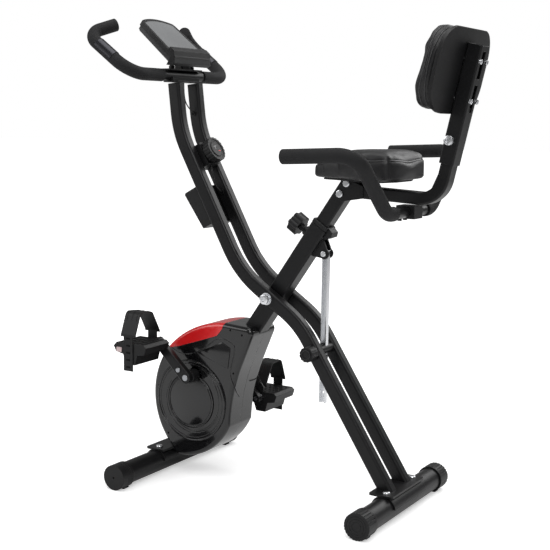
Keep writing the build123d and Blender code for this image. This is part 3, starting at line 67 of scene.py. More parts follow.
Colour = tuple[float, float, float]
Point = tuple[float, float, float]


class Pattern(Enum):
    """Surface pattern of a finish."""

    POWDER = "powder coat"
    BRUSHED = "turned metal"
    MOULDED = "moulded plastic"
    GLOSS = "polished plastic"
    VINYL = "pebbled vinyl"
    FOAM = "closed-cell foam"


class Side(Enum):
    """Side of the rider."""

    LEFT = -1
    RIGHT = 1

    @property
    def word(self) -> str:
        """Lower-case name for use in piece names."""
        return self.name.lower()


# ---------------------------------------------------------------- node helpers


class NodeTree:
    """Small wrapper that adds and links nodes in a material or a node group."""

    def __init__(self, tree: bpy.types.NodeTree) -> None:
        """Keeps the tree.

        Args:
            tree: node tree to fill.
        """
        self.tree = tree

    def add(self, kind: str, **values: object) -> bpy.types.Node:
        """Adds a node and sets its properties and inputs.

        Args:
            kind: node class name.
            values: property names, or input names with underscores for spaces.

        Returns:
            The new node.
        """
        node = self.tree.nodes.new(kind)
        for name, value in values.items():
            if hasattr(node, name):
                setattr(node, name, value)
            else:
                node.inputs[name.replace("_", " ")].default_value = value
        return node

    def link(self, source: bpy.types.NodeSocket, target: bpy.types.NodeSocket) -> None:
        """Links two sockets."""
        self.tree.links.new(source, target)

    def math(self, operation: str, a: object, b: object = 0.0) -> bpy.types.NodeSocket:
        """Adds a maths step.

        Args:
            operation: Math node operation.
            a: first value or socket.
            b: second value or socket.

        Returns:
            The result socket.
        """
        node = self.tree.nodes.new("ShaderNodeMath")
        node.operation = operation
        for index, value in enumerate((a, b)):
            if isinstance(value, bpy.types.NodeSocket):
                self.link(value, node.inputs[index])
            else:
                node.inputs[index].default_value = value
        return node.outputs[0]

    def noise(self, vector: bpy.types.NodeSocket, scale: float, detail: float = 3.0) -> bpy.types.NodeSocket:
        """Adds a noise texture and returns its factor socket.

        Args:
            vector: coordinates.
            scale: noise scale per metre.
            detail: octaves.

        Returns:
            The factor socket.
        """
        node = self.add("ShaderNodeTexNoise", Scale=scale, Detail=detail, Roughness=0.55)
        self.link(vector, node.inputs["Vector"])
        return node.outputs["Fac"]


def new_group(name: str, inputs: dict[str, tuple[str, float]], outputs: dict[str, str]) -> bpy.types.NodeTree:
    """Makes an empty shader node group with named sockets.

    Args:
        name: group name.
        inputs: socket name to (socket type, default).
        outputs: socket name to socket type.

    Returns:
        The node group.
    """
    group = bpy.data.node_groups.new(name, "ShaderNodeTree")
    for label, (kind, default) in inputs.items():
        socket = group.interface.new_socket(label, in_out="INPUT", socket_type=kind)
        if kind == "NodeSocketFloat":
            socket.default_value = default
    for label, kind in outputs.items():
        group.interface.new_socket(label, in_out="OUTPUT", socket_type=kind)
    return group


def edge_wear_and_highlight_group() -> bpy.types.NodeTree:
    """Group that finds edges for scuffing and a painted highlight, and rounds the normal there.

    Returns:
        Group with Radius and Amount inputs and Mask and Normal outputs.
    """
    group = new_group(
        "edge_wear_and_highlight",
        {"Radius": ("NodeSocketFloat", 0.001), "Amount": ("NodeSocketFloat", 1.0)},
        {"Mask": "NodeSocketFloat", "Normal": "NodeSocketVector"},
    )
    t = NodeTree(group)
    source = t.add("NodeGroupInput")
    result = t.add("NodeGroupOutput")
    bevel = t.add("ShaderNodeBevel", samples=4)
    t.link(source.outputs["Radius"], bevel.inputs["Radius"])
    geometry = t.add("ShaderNodeNewGeometry")
    dot = t.add("ShaderNodeVectorMath", operation="DOT_PRODUCT")
    t.link(bevel.outputs["Normal"], dot.inputs[0])
    t.link(geometry.outputs["Normal"], dot.inputs[1])
    coordinates = t.add("ShaderNodeTexCoord")
    patch = t.noise(coordinates.outputs["Object"], 90.0)
    bend = t.math("SUBTRACT", 1.0, dot.outputs["Value"])
    # edge mask: scuffing, and a painted highlight that lightens the edges
    rubbed_and_highlit = t.math("MULTIPLY", t.math("MULTIPLY", bend, patch), 9.0)
    mask = t.math("MINIMUM", t.math("MULTIPLY", rubbed_and_highlit, source.outputs["Amount"]), 1.0)
    t.link(mask, result.inputs["Mask"])
    t.link(bevel.outputs["Normal"], result.inputs["Normal"])
    return group


def grain_group() -> bpy.types.NodeTree:
    """Group with fine and broad unevenness for coats and mouldings.

    Returns:
        Group with Scale input and Height and Variation outputs.
    """
    group = new_group(
        "surface_grain",
        {"Scale": ("NodeSocketFloat", 900.0)},
        {"Height": "NodeSocketFloat", "Variation": "NodeSocketFloat"},
    )
    t = NodeTree(group)
    source = t.add("NodeGroupInput")
    result = t.add("NodeGroupOutput")
    coordinates = t.add("ShaderNodeTexCoord")
    fine = t.add("ShaderNodeTexNoise", Detail=2.0, Roughness=0.6)
    t.link(coordinates.outputs["Object"], fine.inputs["Vector"])
    t.link(source.outputs["Scale"], fine.inputs["Scale"])
    broad = t.noise(coordinates.outputs["Object"], 14.0)
    t.link(fine.outputs["Fac"], result.inputs["Height"])
    t.link(broad, result.inputs["Variation"])
    return group


def dust_group() -> bpy.types.NodeTree:
    """Group that finds upward faces where a little dust lies.

    Returns:
        Group with Amount input and Mask output.
    """
    group = new_group("light_dust", {"Amount": ("NodeSocketFloat", 0.1)}, {"Mask": "NodeSocketFloat"})
    t = NodeTree(group)
    source = t.add("NodeGroupInput")
    result = t.add("NodeGroupOutput")
    geometry = t.add("ShaderNodeNewGeometry")
    split = t.add("ShaderNodeSeparateXYZ")
    t.link(geometry.outputs["Normal"], split.inputs["Vector"])
    coordinates = t.add("ShaderNodeTexCoord")
    cloud = t.noise(coordinates.outputs["Object"], 45.0, 5.0)
    up = t.math("MAXIMUM", split.outputs["Z"], 0.0)
    mask = t.math("MULTIPLY", t.math("MULTIPLY", up, cloud), source.outputs["Amount"])
    t.link(mask, result.inputs["Mask"])
    return group


def pebble_group() -> bpy.types.NodeTree:
    """Group with the small rounded cells of embossed vinyl or cut foam.

    Returns:
        Group with Scale input and Height and Crease outputs.
    """
    group = new_group(
        "pebble_cells",
        {"Scale": ("NodeSocketFloat", 700.0)},
        {"Height": "NodeSocketFloat", "Crease": "NodeSocketFloat"},
    )
    t = NodeTree(group)
    source = t.add("NodeGroupInput")
    result = t.add("NodeGroupOutput")
    coordinates = t.add("ShaderNodeTexCoord")
    cells = t.add("ShaderNodeTexVoronoi", feature="F1", Randomness=0.9)
    t.link(coordinates.outputs["Object"], cells.inputs["Vector"])
    t.link(source.outputs["Scale"], cells.inputs["Scale"])
    height = t.math("SUBTRACT", 1.0, cells.outputs["Distance"])
    t.link(height, result.inputs["Height"])
    t.link(t.math("POWER", cells.outputs["Distance"], 3.0), result.inputs["Crease"])
    return group


class SharedEffects:
    """The node groups that several finishes share, built once."""

    def __init__(self) -> None:
        """Builds every group."""
        self.wear_and_highlight = edge_wear_and_highlight_group()
        self.grain = grain_group()
        self.dust = dust_group()
        self.pebble = pebble_group()


@dataclass(frozen=True)
class Finish:
    """One finish: its look, its pattern, how scuffed its edges are and the painted highlight along them."""

    name: str
    pattern: Pattern
    colour: Colour
    worn_and_highlight_colour: Colour
    roughness: float
    metallic: float = 0.0
    coat: float = 0.0
    bump: float = 0.1
    grain_scale: float = 900.0
    wear_and_highlight: float = 0.2
    dust: float = 0.05
    edge_radius: float = 0.0012
    specular: float = 0.5

    def build(self, effects: SharedEffects) -> bpy.types.Material:
        """Makes the node material.

        Args:
            effects: shared node groups.

        Returns:
            The material.
        """
        material = bpy.data.materials.new(self.name)
        material.use_nodes = True
        material.diffuse_color = (*self.colour, 1.0)
        t = NodeTree(material.node_tree)
        shader = material.node_tree.nodes["Principled BSDF"]
        shader.inputs["Metallic"].default_value = self.metallic
        shader.inputs["Coat Weight"].default_value = self.coat
        shader.inputs["Coat Roughness"].default_value = 0.06
        shader.inputs["Specular IOR Level"].default_value = self.specular
        grain = self._group(t, effects.grain, Scale=self.grain_scale)
        wear_and_highlight = self._group(t, effects.wear_and_highlight, Radius=self.edge_radius, Amount=self.wear_and_highlight)
        dust = self._group(t, effects.dust, Amount=self.dust)
        tint = t.add("ShaderNodeMix", data_type="RGBA", blend_type="MIX")
        tint.inputs["A"].default_value = (*[c * (1.0 - TINT_SPREAD) for c in self.colour], 1.0)
        tint.inputs["B"].default_value = (*[min(1.0, c * (1.0 + TINT_SPREAD)) for c in self.colour], 1.0)
        t.link(grain.outputs["Variation"], tint.inputs["Factor"])
        # the edge colour here is partly scuffing and partly a painted highlight
        worn_and_highlit = t.add("ShaderNodeMix", data_type="RGBA", blend_type="MIX")
        t.link(wear_and_highlight.outputs["Mask"], worn_and_highlit.inputs["Factor"])
        t.link(tint.outputs["Result"], worn_and_highlit.inputs["A"])
        worn_and_highlit.inputs["B"].default_value = (*self.worn_and_highlight_colour, 1.0)
        dusty = t.add("ShaderNodeMix", data_type="RGBA", blend_type="MIX")
        t.link(dust.outputs["Mask"], dusty.inputs["Factor"])
        t.link(worn_and_highlit.outputs["Result"], dusty.inputs["A"])
        dusty.inputs["B"].default_value = DUST_COLOUR
        t.link(dusty.outputs["Result"], shader.inputs["Base Color"])
        rough = t.math("MULTIPLY_ADD", grain.outputs["Variation"], 0.12)
        rough.node.inputs[2].default_value = self.roughness - 0.06
        t.link(t.math("ADD", rough, dust.outputs["Mask"]), shader.inputs["Roughness"])
        bump = t.add("ShaderNodeBump", Strength=self.bump, Distance=0.0006)
        t.link(self._height(t, grain, effects), bump.inputs["Height"])
        t.link(wear_and_highlight.outputs["Normal"], bump.inputs["Normal"])
        t.link(bump.outputs["Normal"], shader.inputs["Normal"])
        return material

    def _height(
        self, t: NodeTree, grain: bpy.types.Node, effects: SharedEffects
    ) -> bpy.types.NodeSocket:
        """Height of this finish's pattern.

        Args:
            t: tree of the material.
            grain: the grain group node.
            effects: shared node groups.

        Returns:
            The height socket.
        """
        if self.pattern in (Pattern.VINYL, Pattern.FOAM):
            cells = self._group(t, effects.pebble, Scale=self.grain_scale)
            return t.math("ADD", cells.outputs["Height"], grain.outputs["Height"])
        if self.pattern is Pattern.BRUSHED:
            coordinates = t.add("ShaderNodeTexCoord")
            stretch = t.add("ShaderNodeMapping", Scale=(1.0, 1.0, 18.0))
            t.link(coordinates.outputs["Object"], stretch.inputs["Vector"])
            return t.noise(stretch.outputs["Vector"], self.grain_scale, 2.0)
        return grain.outputs["Height"]

    @staticmethod
    def _group(t: NodeTree, group: bpy.types.NodeTree, **values: float) -> bpy.types.Node:
        """Places a shared group with its own values.

        Args:
            t: tree to place it in.
            group: the node group.
            values: input values by name.

        Returns:
            The group node.
        """
        node = t.tree.nodes.new("ShaderNodeGroup")
        node.node_tree = group
        for name, value in values.items():
            node.inputs[name].default_value = value
        return node


# edge colour of the black coat: bare steel where scuffed, and a painted highlight
STEEL_EDGE_AND_HIGHLIGHT: Colour = (0.10, 0.10, 0.105)
FINISHES = (
    Finish(
        "satin_black_coat", Pattern.POWDER, (0.0055, 0.0055, 0.006), STEEL_EDGE_AND_HIGHLIGHT, 0.36, bump=0.10,
        grain_scale=1500.0, wear_and_highlight=0.25, dust=0.012, specular=0.26,
    ),
    Finish(
        "bright_plate", Pattern.BRUSHED, (0.70, 0.71, 0.73), (0.8, 0.8, 0.82), 0.24, metallic=1.0,
        bump=0.05, dust=0.0,
    ),
    Finish(
        "dark_chrome", Pattern.BRUSHED, (0.05, 0.05, 0.055), (0.07, 0.07, 0.07), 0.30, metallic=1.0,
        bump=0.0, dust=0.0, wear_and_highlight=0.0,
    ),
    Finish(
        "turned_steel", Pattern.BRUSHED, (0.36, 0.37, 0.39), (0.65, 0.65, 0.67), 0.32, metallic=1.0,
        bump=0.08, dust=0.0,
    ),
    Finish(
        "cast_iron", Pattern.POWDER, (0.06, 0.06, 0.065), (0.4, 0.4, 0.42), 0.55, metallic=0.8,
        bump=0.35,
    ),
    Finish(
        "gloss_shell", Pattern.GLOSS, (0.0045, 0.0045, 0.005), (0.03, 0.03, 0.033), 0.13, coat=0.35,
        bump=0.015, wear_and_highlight=0.15, dust=0.006, edge_radius=0.0018, specular=0.38,
    ),
    Finish(
        "red_trim", Pattern.GLOSS, (0.60, 0.010, 0.012), (0.80, 0.14, 0.12), 0.24, coat=0.4, bump=0.02,
        wear_and_highlight=0.25, dust=0.01,
    ),
    Finish(
        "black_moulding", Pattern.MOULDED, (0.0065, 0.0065, 0.007), (0.035, 0.035, 0.035), 0.44,
        bump=0.16, grain_scale=1300.0, dust=0.012, edge_radius=0.0015, specular=0.28,
    ),
    Finish(
        "grey_moulding", Pattern.MOULDED, (0.022, 0.022, 0.024), (0.09, 0.09, 0.09), 0.40, bump=0.12,
        grain_scale=1300.0, dust=0.012, specular=0.3,
    ),
    Finish(
        "display_window", Pattern.GLOSS, (0.20, 0.205, 0.21), (0.3, 0.3, 0.3), 0.12, coat=0.6,
        bump=0.0, wear_and_highlight=0.0, dust=0.02,
    ),
    Finish(
        "grip_foam", Pattern.FOAM, (0.008, 0.008, 0.0088), (0.03, 0.03, 0.03), 0.72, bump=0.40,
        grain_scale=1400.0, wear_and_highlight=0.1, dust=0.012, specular=0.3,
    ),
    Finish(
        "strap_rubber", Pattern.MOULDED, (0.0065, 0.0065, 0.007), (0.03, 0.03, 0.03), 0.48, bump=0.2,
        grain_scale=1100.0, dust=0.012, specular=0.28,
    ),
    Finish(
        "padded_vinyl", Pattern.VINYL, (0.007, 0.0068, 0.0075), (0.03, 0.03, 0.03), 0.40, bump=0.28,
        grain_scale=1050.0, dust=0.012, specular=0.38,
    ),
    Finish(
        "piping_vinyl", Pattern.GLOSS, (0.011, 0.0105, 0.0115), (0.05, 0.05, 0.05), 0.30, coat=0.15,
        bump=0.05, dust=0.01,
    ),
    Finish(
        "cable_sheath", Pattern.GLOSS, (0.006, 0.006, 0.006), (0.03, 0.03, 0.03), 0.36, bump=0.05,
        dust=0.01,
    ),
    # near-black finish: painted shade for slots and recesses
    Finish(
        "painted_slot_shade", Pattern.MOULDED, (0.002, 0.002, 0.002), (0.01, 0.01, 0.01), 0.6, bump=0.05,
        specular=0.1,
    ),
    Finish(
        "clear_reflector", Pattern.GLOSS, (0.55, 0.42, 0.42), (0.8, 0.7, 0.7), 0.14, coat=0.8,
        bump=0.0, wear_and_highlight=0.0,
    ),
    Finish(
        "grey_mark", Pattern.GLOSS, (0.35, 0.35, 0.36), (0.5, 0.5, 0.5), 0.3, bump=0.0, wear_and_highlight=0.0,
    ),
)

SLOT_FINISH = {
    "frame_black": "satin_black_coat",
    "bright_steel": "bright_plate",
    "plain_steel": "turned_steel",
    "cast_weight": "cast_iron",
    "gloss_shell": "gloss_shell",
    "red_trim": "red_trim",
    "black_plastic": "black_moulding",
    "grey_plastic": "grey_moulding",
    "screen": "display_window",
    "foam": "grip_foam",
    "soft_rubber": "strap_rubber",
    "vinyl": "padded_vinyl",
    "cable_cover": "cable_sheath",
}


class FinishLibrary:
    """Every finish of the bike by name."""

    def __init__(self) -> None:
        """Builds the materials."""
        effects = SharedEffects()
        self._materials = {finish.name: finish.build(effects) for finish in FINISHES}

    def get(self, name: str) -> bpy.types.Material:
        """Material of that name."""
        return self._materials[name]

    def for_slot(self, slot: str) -> bpy.types.Material:
        """Material that a record slot takes."""
        return self._materials[SLOT_FINISH[slot]]


# ---------------------------------------------------------------- modelling helpers


def deselect_all() -> None:
    """Deselects every object."""
    if bpy.context.object is not None and bpy.context.object.mode != "OBJECT":
        bpy.ops.object.mode_set(mode="OBJECT")
    bpy.ops.object.select_all(action="DESELECT")


def activate(obj: bpy.types.Object) -> None:
    """Makes obj the only selected and active object."""
    deselect_all()
    obj.select_set(True)
    bpy.context.view_layer.objects.active = obj


def apply_modifier(obj: bpy.types.Object, kind: str, **values: object) -> None:
    """Adds a modifier with the given settings and applies it.

    Args:
        obj: mesh object.
        kind: modifier type.
        values: modifier settings.
    """
    activate(obj)
    modifier = obj.modifiers.new(kind.lower(), kind)
    for name, value in values.items():
        setattr(modifier, name, value)
    bpy.ops.object.modifier_apply(modifier=modifier.name)


def round_edges(obj: bpy.types.Object, width: float, segments: int = 3, angle: float = 40.0) -> None:
    """Rounds edges sharper than an angle.

    Args:
        obj: mesh object.
        width: bevel width in metres.
        segments: bevel segments.
        angle: lowest edge angle in degrees.
    """
    apply_modifier(
        obj, "BEVEL", width=width, segments=segments, limit_method="ANGLE",
        angle_limit=math.radians(angle), harden_normals=False,
    )


@dataclass
class Workshop:
    """Finishes and bookkeeping shared by all sub-assemblies."""

    finishes: FinishLibrary
    made: list[bpy.types.Object] = field(default_factory=list)

    def place(
        self,
        obj: bpy.types.Object,
        name: str,
        finish: str,
        body: str,
        slot: str,
        smooth_angle: float = 35.0,
    ) -> bpy.types.Object:
        """Names, cleans, dresses and rides a finished piece.

        Args:
            obj: the mesh object.
            name: piece name.
            finish: finish name.
            body: CAD body that it moves with.
            slot: record material slot.
            smooth_angle: shading angle in degrees.

        Returns:
            The same object.
        """
        activate(obj)
        bpy.ops.object.transform_apply(location=True, rotation=True, scale=True)
        bpy.ops.object.mode_set(mode="EDIT")
        bpy.ops.mesh.select_all(action="SELECT")
        bpy.ops.mesh.remove_doubles(threshold=MERGE_GAP)
        bpy.ops.mesh.normals_make_consistent(inside=False)
        bpy.ops.object.mode_set(mode="OBJECT")
        bpy.ops.object.shade_smooth_by_angle(angle=math.radians(smooth_angle))
        obj.name = name
        obj.data.name = name
        obj.data.materials.clear()
        obj.data.materials.append(self.finishes.get(finish))
        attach(obj, body)
        self.made.append(obj)
        LOG.info("made %s on %s, %d faces", name, body, len(obj.data.polygons))
        return obj

    def disc(
        self, centre: Point, axis: Point, radius: float, depth: float, sides: int = 40
    ) -> bpy.types.Object:
        """Adds a cylinder centred at a point along an axis.

        Args:
            centre: middle of the cylinder in metres.
            axis: direction of its axis.
            radius: radius in metres.
            depth: length in metres.
            sides: number of side faces.

        Returns:
            The new object.
        """
        deselect_all()
        turn = Vector(axis).to_track_quat("Z", "Y").to_euler()
        bpy.ops.mesh.primitive_cylinder_add(
            vertices=sides, radius=radius, depth=depth, location=centre, rotation=turn
        )
        return bpy.context.object

    def ring(
        self, centre: Point, axis: Point, radius: float, thickness: float, sides: int = 48
    ) -> bpy.types.Object:
        """Adds a round ring about an axis.

        Args:
            centre: centre in metres.
            axis: direction of its axis.
            radius: radius of the ring's middle line.
            thickness: radius of its round section.
            sides: segments round the ring.

        Returns:
            The new object.
        """
        deselect_all()
        turn = Vector(axis).to_track_quat("Z", "Y").to_euler()
        bpy.ops.mesh.primitive_torus_add(
            location=centre, rotation=turn, major_radius=radius, minor_radius=thickness,
            major_segments=sides, minor_segments=10,
        )
        return bpy.context.object

    def plate(
        self, centre: Point, size: Point, turn: Point = (0.0, 0.0, 0.0), edge: float = 0.001
    ) -> bpy.types.Object:
        """Adds a block with rounded edges.

        Args:
            centre: centre in metres.
            size: full size along its own axes.
            turn: Euler angles in radians.
            edge: rounding of its edges in metres.

        Returns:
            The new object.
        """
        deselect_all()
        bpy.ops.mesh.primitive_cube_add(size=1.0, location=centre, rotation=turn)
        block = bpy.context.object
        block.scale = size
        bpy.ops.object.transform_apply(location=False, rotation=False, scale=True)
        round_edges(block, edge)
        return block

    def join(self, pieces: list[bpy.types.Object]) -> bpy.types.Object:
        """Joins pieces into the first one.

        Args:
            pieces: objects to join.

        Returns:
            The joined object.
        """
        deselect_all()
        for piece in pieces:
            piece.select_set(True)
        bpy.context.view_layer.objects.active = pieces[0]
        bpy.ops.object.join()
        return pieces[0]

    def copy_of_node(self, node: str) -> bpy.types.Object:
        """Copies a CAD node's mesh into a new object and merges its loose triangles.

        Args:
            node: CAD node name.

        Returns:
            The new object.
        """
        mesh = frame["nodes"][node].data.copy()
        obj = bpy.data.objects.new(node + "_copy", mesh)
        bpy.context.scene.collection.objects.link(obj)
        activate(obj)
        bpy.ops.object.mode_set(mode="EDIT")
        bpy.ops.mesh.select_all(action="SELECT")
        bpy.ops.mesh.remove_doubles(threshold=0.00002)
        bpy.ops.mesh.dissolve_limited(angle_limit=math.radians(0.6))
        bpy.ops.object.mode_set(mode="OBJECT")
        return obj

    def tube(self, points: list[Vector], radius: float, closed: bool = False) -> bpy.types.Object:
        """Adds a round tube through points and makes it a mesh.

        Args:
            points: points of its middle line in metres.
            radius: tube radius in metres.
            closed: whether the line closes on itself.

        Returns:
            The mesh object.
        """
        curve = bpy.data.curves.new("tube", "CURVE")
        curve.dimensions = "3D"
        curve.bevel_depth = radius
        curve.bevel_resolution = 3
        curve.use_fill_caps = not closed
        spline = curve.splines.new("POLY")
        spline.points.add(len(points) - 1)
        for target, point in zip(spline.points, points):
            target.co = (*point, 1.0)
        spline.use_cyclic_u = closed
        obj = bpy.data.objects.new("tube", curve)
        bpy.context.scene.collection.objects.link(obj)
        activate(obj)
        bpy.ops.object.convert(target="MESH")
        return bpy.context.object


# ---------------------------------------------------------------- padded pieces


@dataclass
class PaddedForm:
    """A stuffed cushion swelled out of its CAD solid by a short cloth simulation."""

    node: str
    voxel: float
    pull_in: float
    cap: float
    pressure: float
    pinned_normal: Vector
    pinned_depth: float

    def make(self, shop: Workshop) -> bpy.types.Object:
        """Builds the swelled mesh.

        Args:
            shop: modelling helpers.

        Returns:
            The cushion mesh, without materials.
        """
        obj = shop.copy_of_node(self.node)
        apply_modifier(obj, "REMESH", mode="VOXEL", voxel_size=self.voxel, use_smooth_shade=True)
        apply_modifier(obj, "SMOOTH", factor=0.5, iterations=6)
        self._pull_in(obj)
        self._swell(obj)
        apply_modifier(obj, "SMOOTH", factor=0.5, iterations=16)
        apply_modifier(obj, "SUBSURF", levels=1, render_levels=1)
        return obj

    def _pull_in(self, obj: bpy.types.Object) -> None:
        """Draws the surface in so that it can swell back to its size."""
        mesh = obj.data
        for vertex, normal in zip(mesh.vertices, [v.normal.copy() for v in mesh.vertices]):
            if normal.dot(self.pinned_normal) < 0.7:
                vertex.co -= normal * self.pull_in

    def _swell(self, obj: bpy.types.Object) -> None:
        """Runs the cloth simulation and keeps its capped result."""
        mesh = obj.data
        depths = [v.co.dot(self.pinned_normal) for v in mesh.vertices]
        base = max(depths)
        held = [i for i, depth in enumerate(depths) if base - depth < self.pinned_depth]
        group = obj.vertex_groups.new(name="held")
        group.add(held, 1.0, "REPLACE")
        cloth = obj.modifiers.new("cloth", "CLOTH")
        cloth.settings.quality = 5
        cloth.settings.use_pressure = True
        cloth.settings.uniform_pressure_force = self.pressure
        cloth.settings.effector_weights.gravity = 0.0
        cloth.settings.vertex_group_mass = "held"
        cloth.point_cache.frame_start = 1
        cloth.point_cache.frame_end = CLOTH_FRAMES
        before = [v.co.copy() for v in mesh.vertices]
        scene = bpy.context.scene
        for step in range(1, CLOTH_FRAMES + 1):
            scene.frame_set(step)
        depsgraph = bpy.context.evaluated_depsgraph_get()
        after = [v.co.copy() for v in obj.evaluated_get(depsgraph).data.vertices]
        obj.modifiers.remove(cloth)
        scene.frame_set(1)
        for vertex, old, new in zip(mesh.vertices, before, after):
            move = new - old
            if move.length > self.cap:
                move *= self.cap / move.length
            vertex.co = old + move
        mesh.update()


def surface_of(obj: bpy.types.Object) -> BVHTree:
    """Search tree of a mesh object's surface."""
    depsgraph = bpy.context.evaluated_depsgraph_get()
    return BVHTree.FromObject(obj, depsgraph)


def spline_point(a: Vector, b: Vector, c: Vector, d: Vector, t: float) -> Vector:
    """Catmull-Rom point between b and c.

    Args:
        a: corner before b.
        b: start of the stretch.
        c: end of the stretch.
        d: corner after c.
        t: share of the way from b to c.

    Returns:
        The point.
    """
    cubic = (3 * b - a - 3 * c + d) * t ** 3
    return 0.5 * (2 * b + (c - a) * t + (2 * a - 5 * b + 4 * c - d) * t * t + cubic)


def smooth_loop(corners: list[Vector], steps: int) -> list[Vector]:
    """Catmull-Rom points through a closed loop of corners.

    Args:
        corners: the loop's corners.
        steps: points for each stretch.

    Returns:
        The points of the loop.
    """
    count = len(corners)
    points = []
    for index in range(count):
        a, b, c, d = (corners[(index + shift) % count] for shift in (-1, 0, 1, 2))
        points.extend(spline_point(a, b, c, d, step / steps) for step in range(steps))
    return points


def even_loop(points: list[Vector], gap: float) -> list[Vector]:
    """Points at even gaps along a closed loop.

    Args:
        points: the loop's points.
        gap: distance between the new points in metres.

    Returns:
        The evenly placed points.
    """
    spaced = []
    for start, end in zip(points, [*points[1:], points[0]]):
        count = max(1, round((end - start).length / gap))
        spaced.extend(start.lerp(end, step / count) for step in range(count))
    return spaced


def relax_loop(points: list[Vector], passes: int) -> list[Vector]:
    """Evens out the small waves of a closed loop.

    Args:
        points: the loop's points.
        passes: how often each point moves to its neighbours' middle.

    Returns:
        The smoother points.
    """
    for _ in range(passes):
        after = [*points[1:], points[0]]
        points = [(points[i - 1] + p * 2 + after[i]) / 4 for i, p in enumerate(points)]
    return points


def drape(points: list[Vector], tree: BVHTree, lift: float) -> list[Vector]:
    """Moves points onto a surface.

    Args:
        points: points near the surface.
        tree: the surface.
        lift: height above the surface in metres.

    Returns:
        The points on the surface.
    """
    laid = []
    for point in points:
        place, normal, _, _ = tree.find_nearest(point)
        laid.append(place + normal * lift)
    return laid


def pinch(obj: bpy.types.Object, line: list[Vector], width: float, depth: float) -> None:
    """Draws a mesh in along a seam.

    Args:
        obj: mesh object.
        line: points of the seam.
        width: half width of the valley in metres.
        depth: depth of the valley in metres.
    """
    tree = KDTree(len(line))
    for index, point in enumerate(line):
        tree.insert(point, index)
    tree.balance()
    normals = [v.normal.copy() for v in obj.data.vertices]
    for vertex, normal in zip(obj.data.vertices, normals):
        gap = tree.find(vertex.co)[2]
        if gap < width:
            vertex.co -= normal * depth * (1 - gap / width) ** 2


def piping_tube(shop: Workshop, line: list[Vector], tree: BVHTree) -> bpy.types.Object:
    """Round cord that lies along a seam.

    Args:
        shop: modelling helpers.
        line: points of the seam.
        tree: the cushion's surface.

    Returns:
        The cord's mesh object.
    """
    laid = relax_loop(drape(line, tree, PIPING_LIFT), PIPING_PASSES)
    return shop.tube(laid, PIPING_RADIUS, closed=True)


@dataclass
class Saddle:
    """Padded saddle with piping along its top edge and short vertical seams."""

    shop: Workshop
    seam_z: float = 0.8365
    outline: tuple[tuple[float, float], ...] = (
        (0.062, 0.0), (0.066, 0.026), (0.090, 0.046), (0.150, 0.068), (0.190, 0.092), (0.222, 0.112),
        (0.260, 0.114), (0.296, 0.104), (0.308, 0.078), (0.311, 0.040), (0.312, 0.0),
    )

    def build(self) -> None:
        """Makes the cushion, its piping and its seams."""
        form = PaddedForm("saddle_cushion", 0.005, 0.004, 0.007, 4.0, Vector((0, 0, -1)), 0.008)
        cushion = form.make(self.shop)
        half = [Vector((x, y, self.seam_z)) for x, y in self.outline]
        other = [Vector((p.x, -p.y, p.z)) for p in reversed(half[1:-1])]
        loop = even_loop(smooth_loop(half + other, 8), SEAM_GAP)
        loop = [Vector((p.x, p.y, self._seam_height(p.x))) for p in loop]
        tree = surface_of(cushion)
        line = relax_loop(drape(loop, tree, 0.0), SEAM_PASSES)
        pinch(cushion, line, 0.009, 0.0022)
        self.shop.place(cushion, "saddle_padding", "padded_vinyl", "seat", "vinyl", 80.0)
        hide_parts("saddle_cushion")
        tree = surface_of(cushion)
        piping = piping_tube(self.shop, line, tree)
        self.shop.place(piping, "saddle_piping", "piping_vinyl", "seat", "vinyl", 80.0)
        seams = []
        for x, y in ((0.100, -0.052), (0.100, 0.052), (0.306, -0.095), (0.306, 0.095)):
            top = self._seam_height(x)
            drop = [Vector((x, y, top + (0.792 - top) * i / 10)) for i in range(11)]
            seams.append(self.shop.tube(drape(drop, tree, 0.0), 0.0009))
        self.shop.place(self.shop.join(seams), "saddle_side_seams", "piping_vinyl", "seat", "vinyl", 80.0)

    def _seam_height(self, x: float) -> float:
        """Height of the top seam, which dips towards the nose.

        Args:
            x: place along the saddle in metres.

        Returns:
            Height in metres.
        """
        dip = max(0.0, 0.150 - x) / 0.090
        return self.seam_z - 0.016 * min(dip, 1.0)


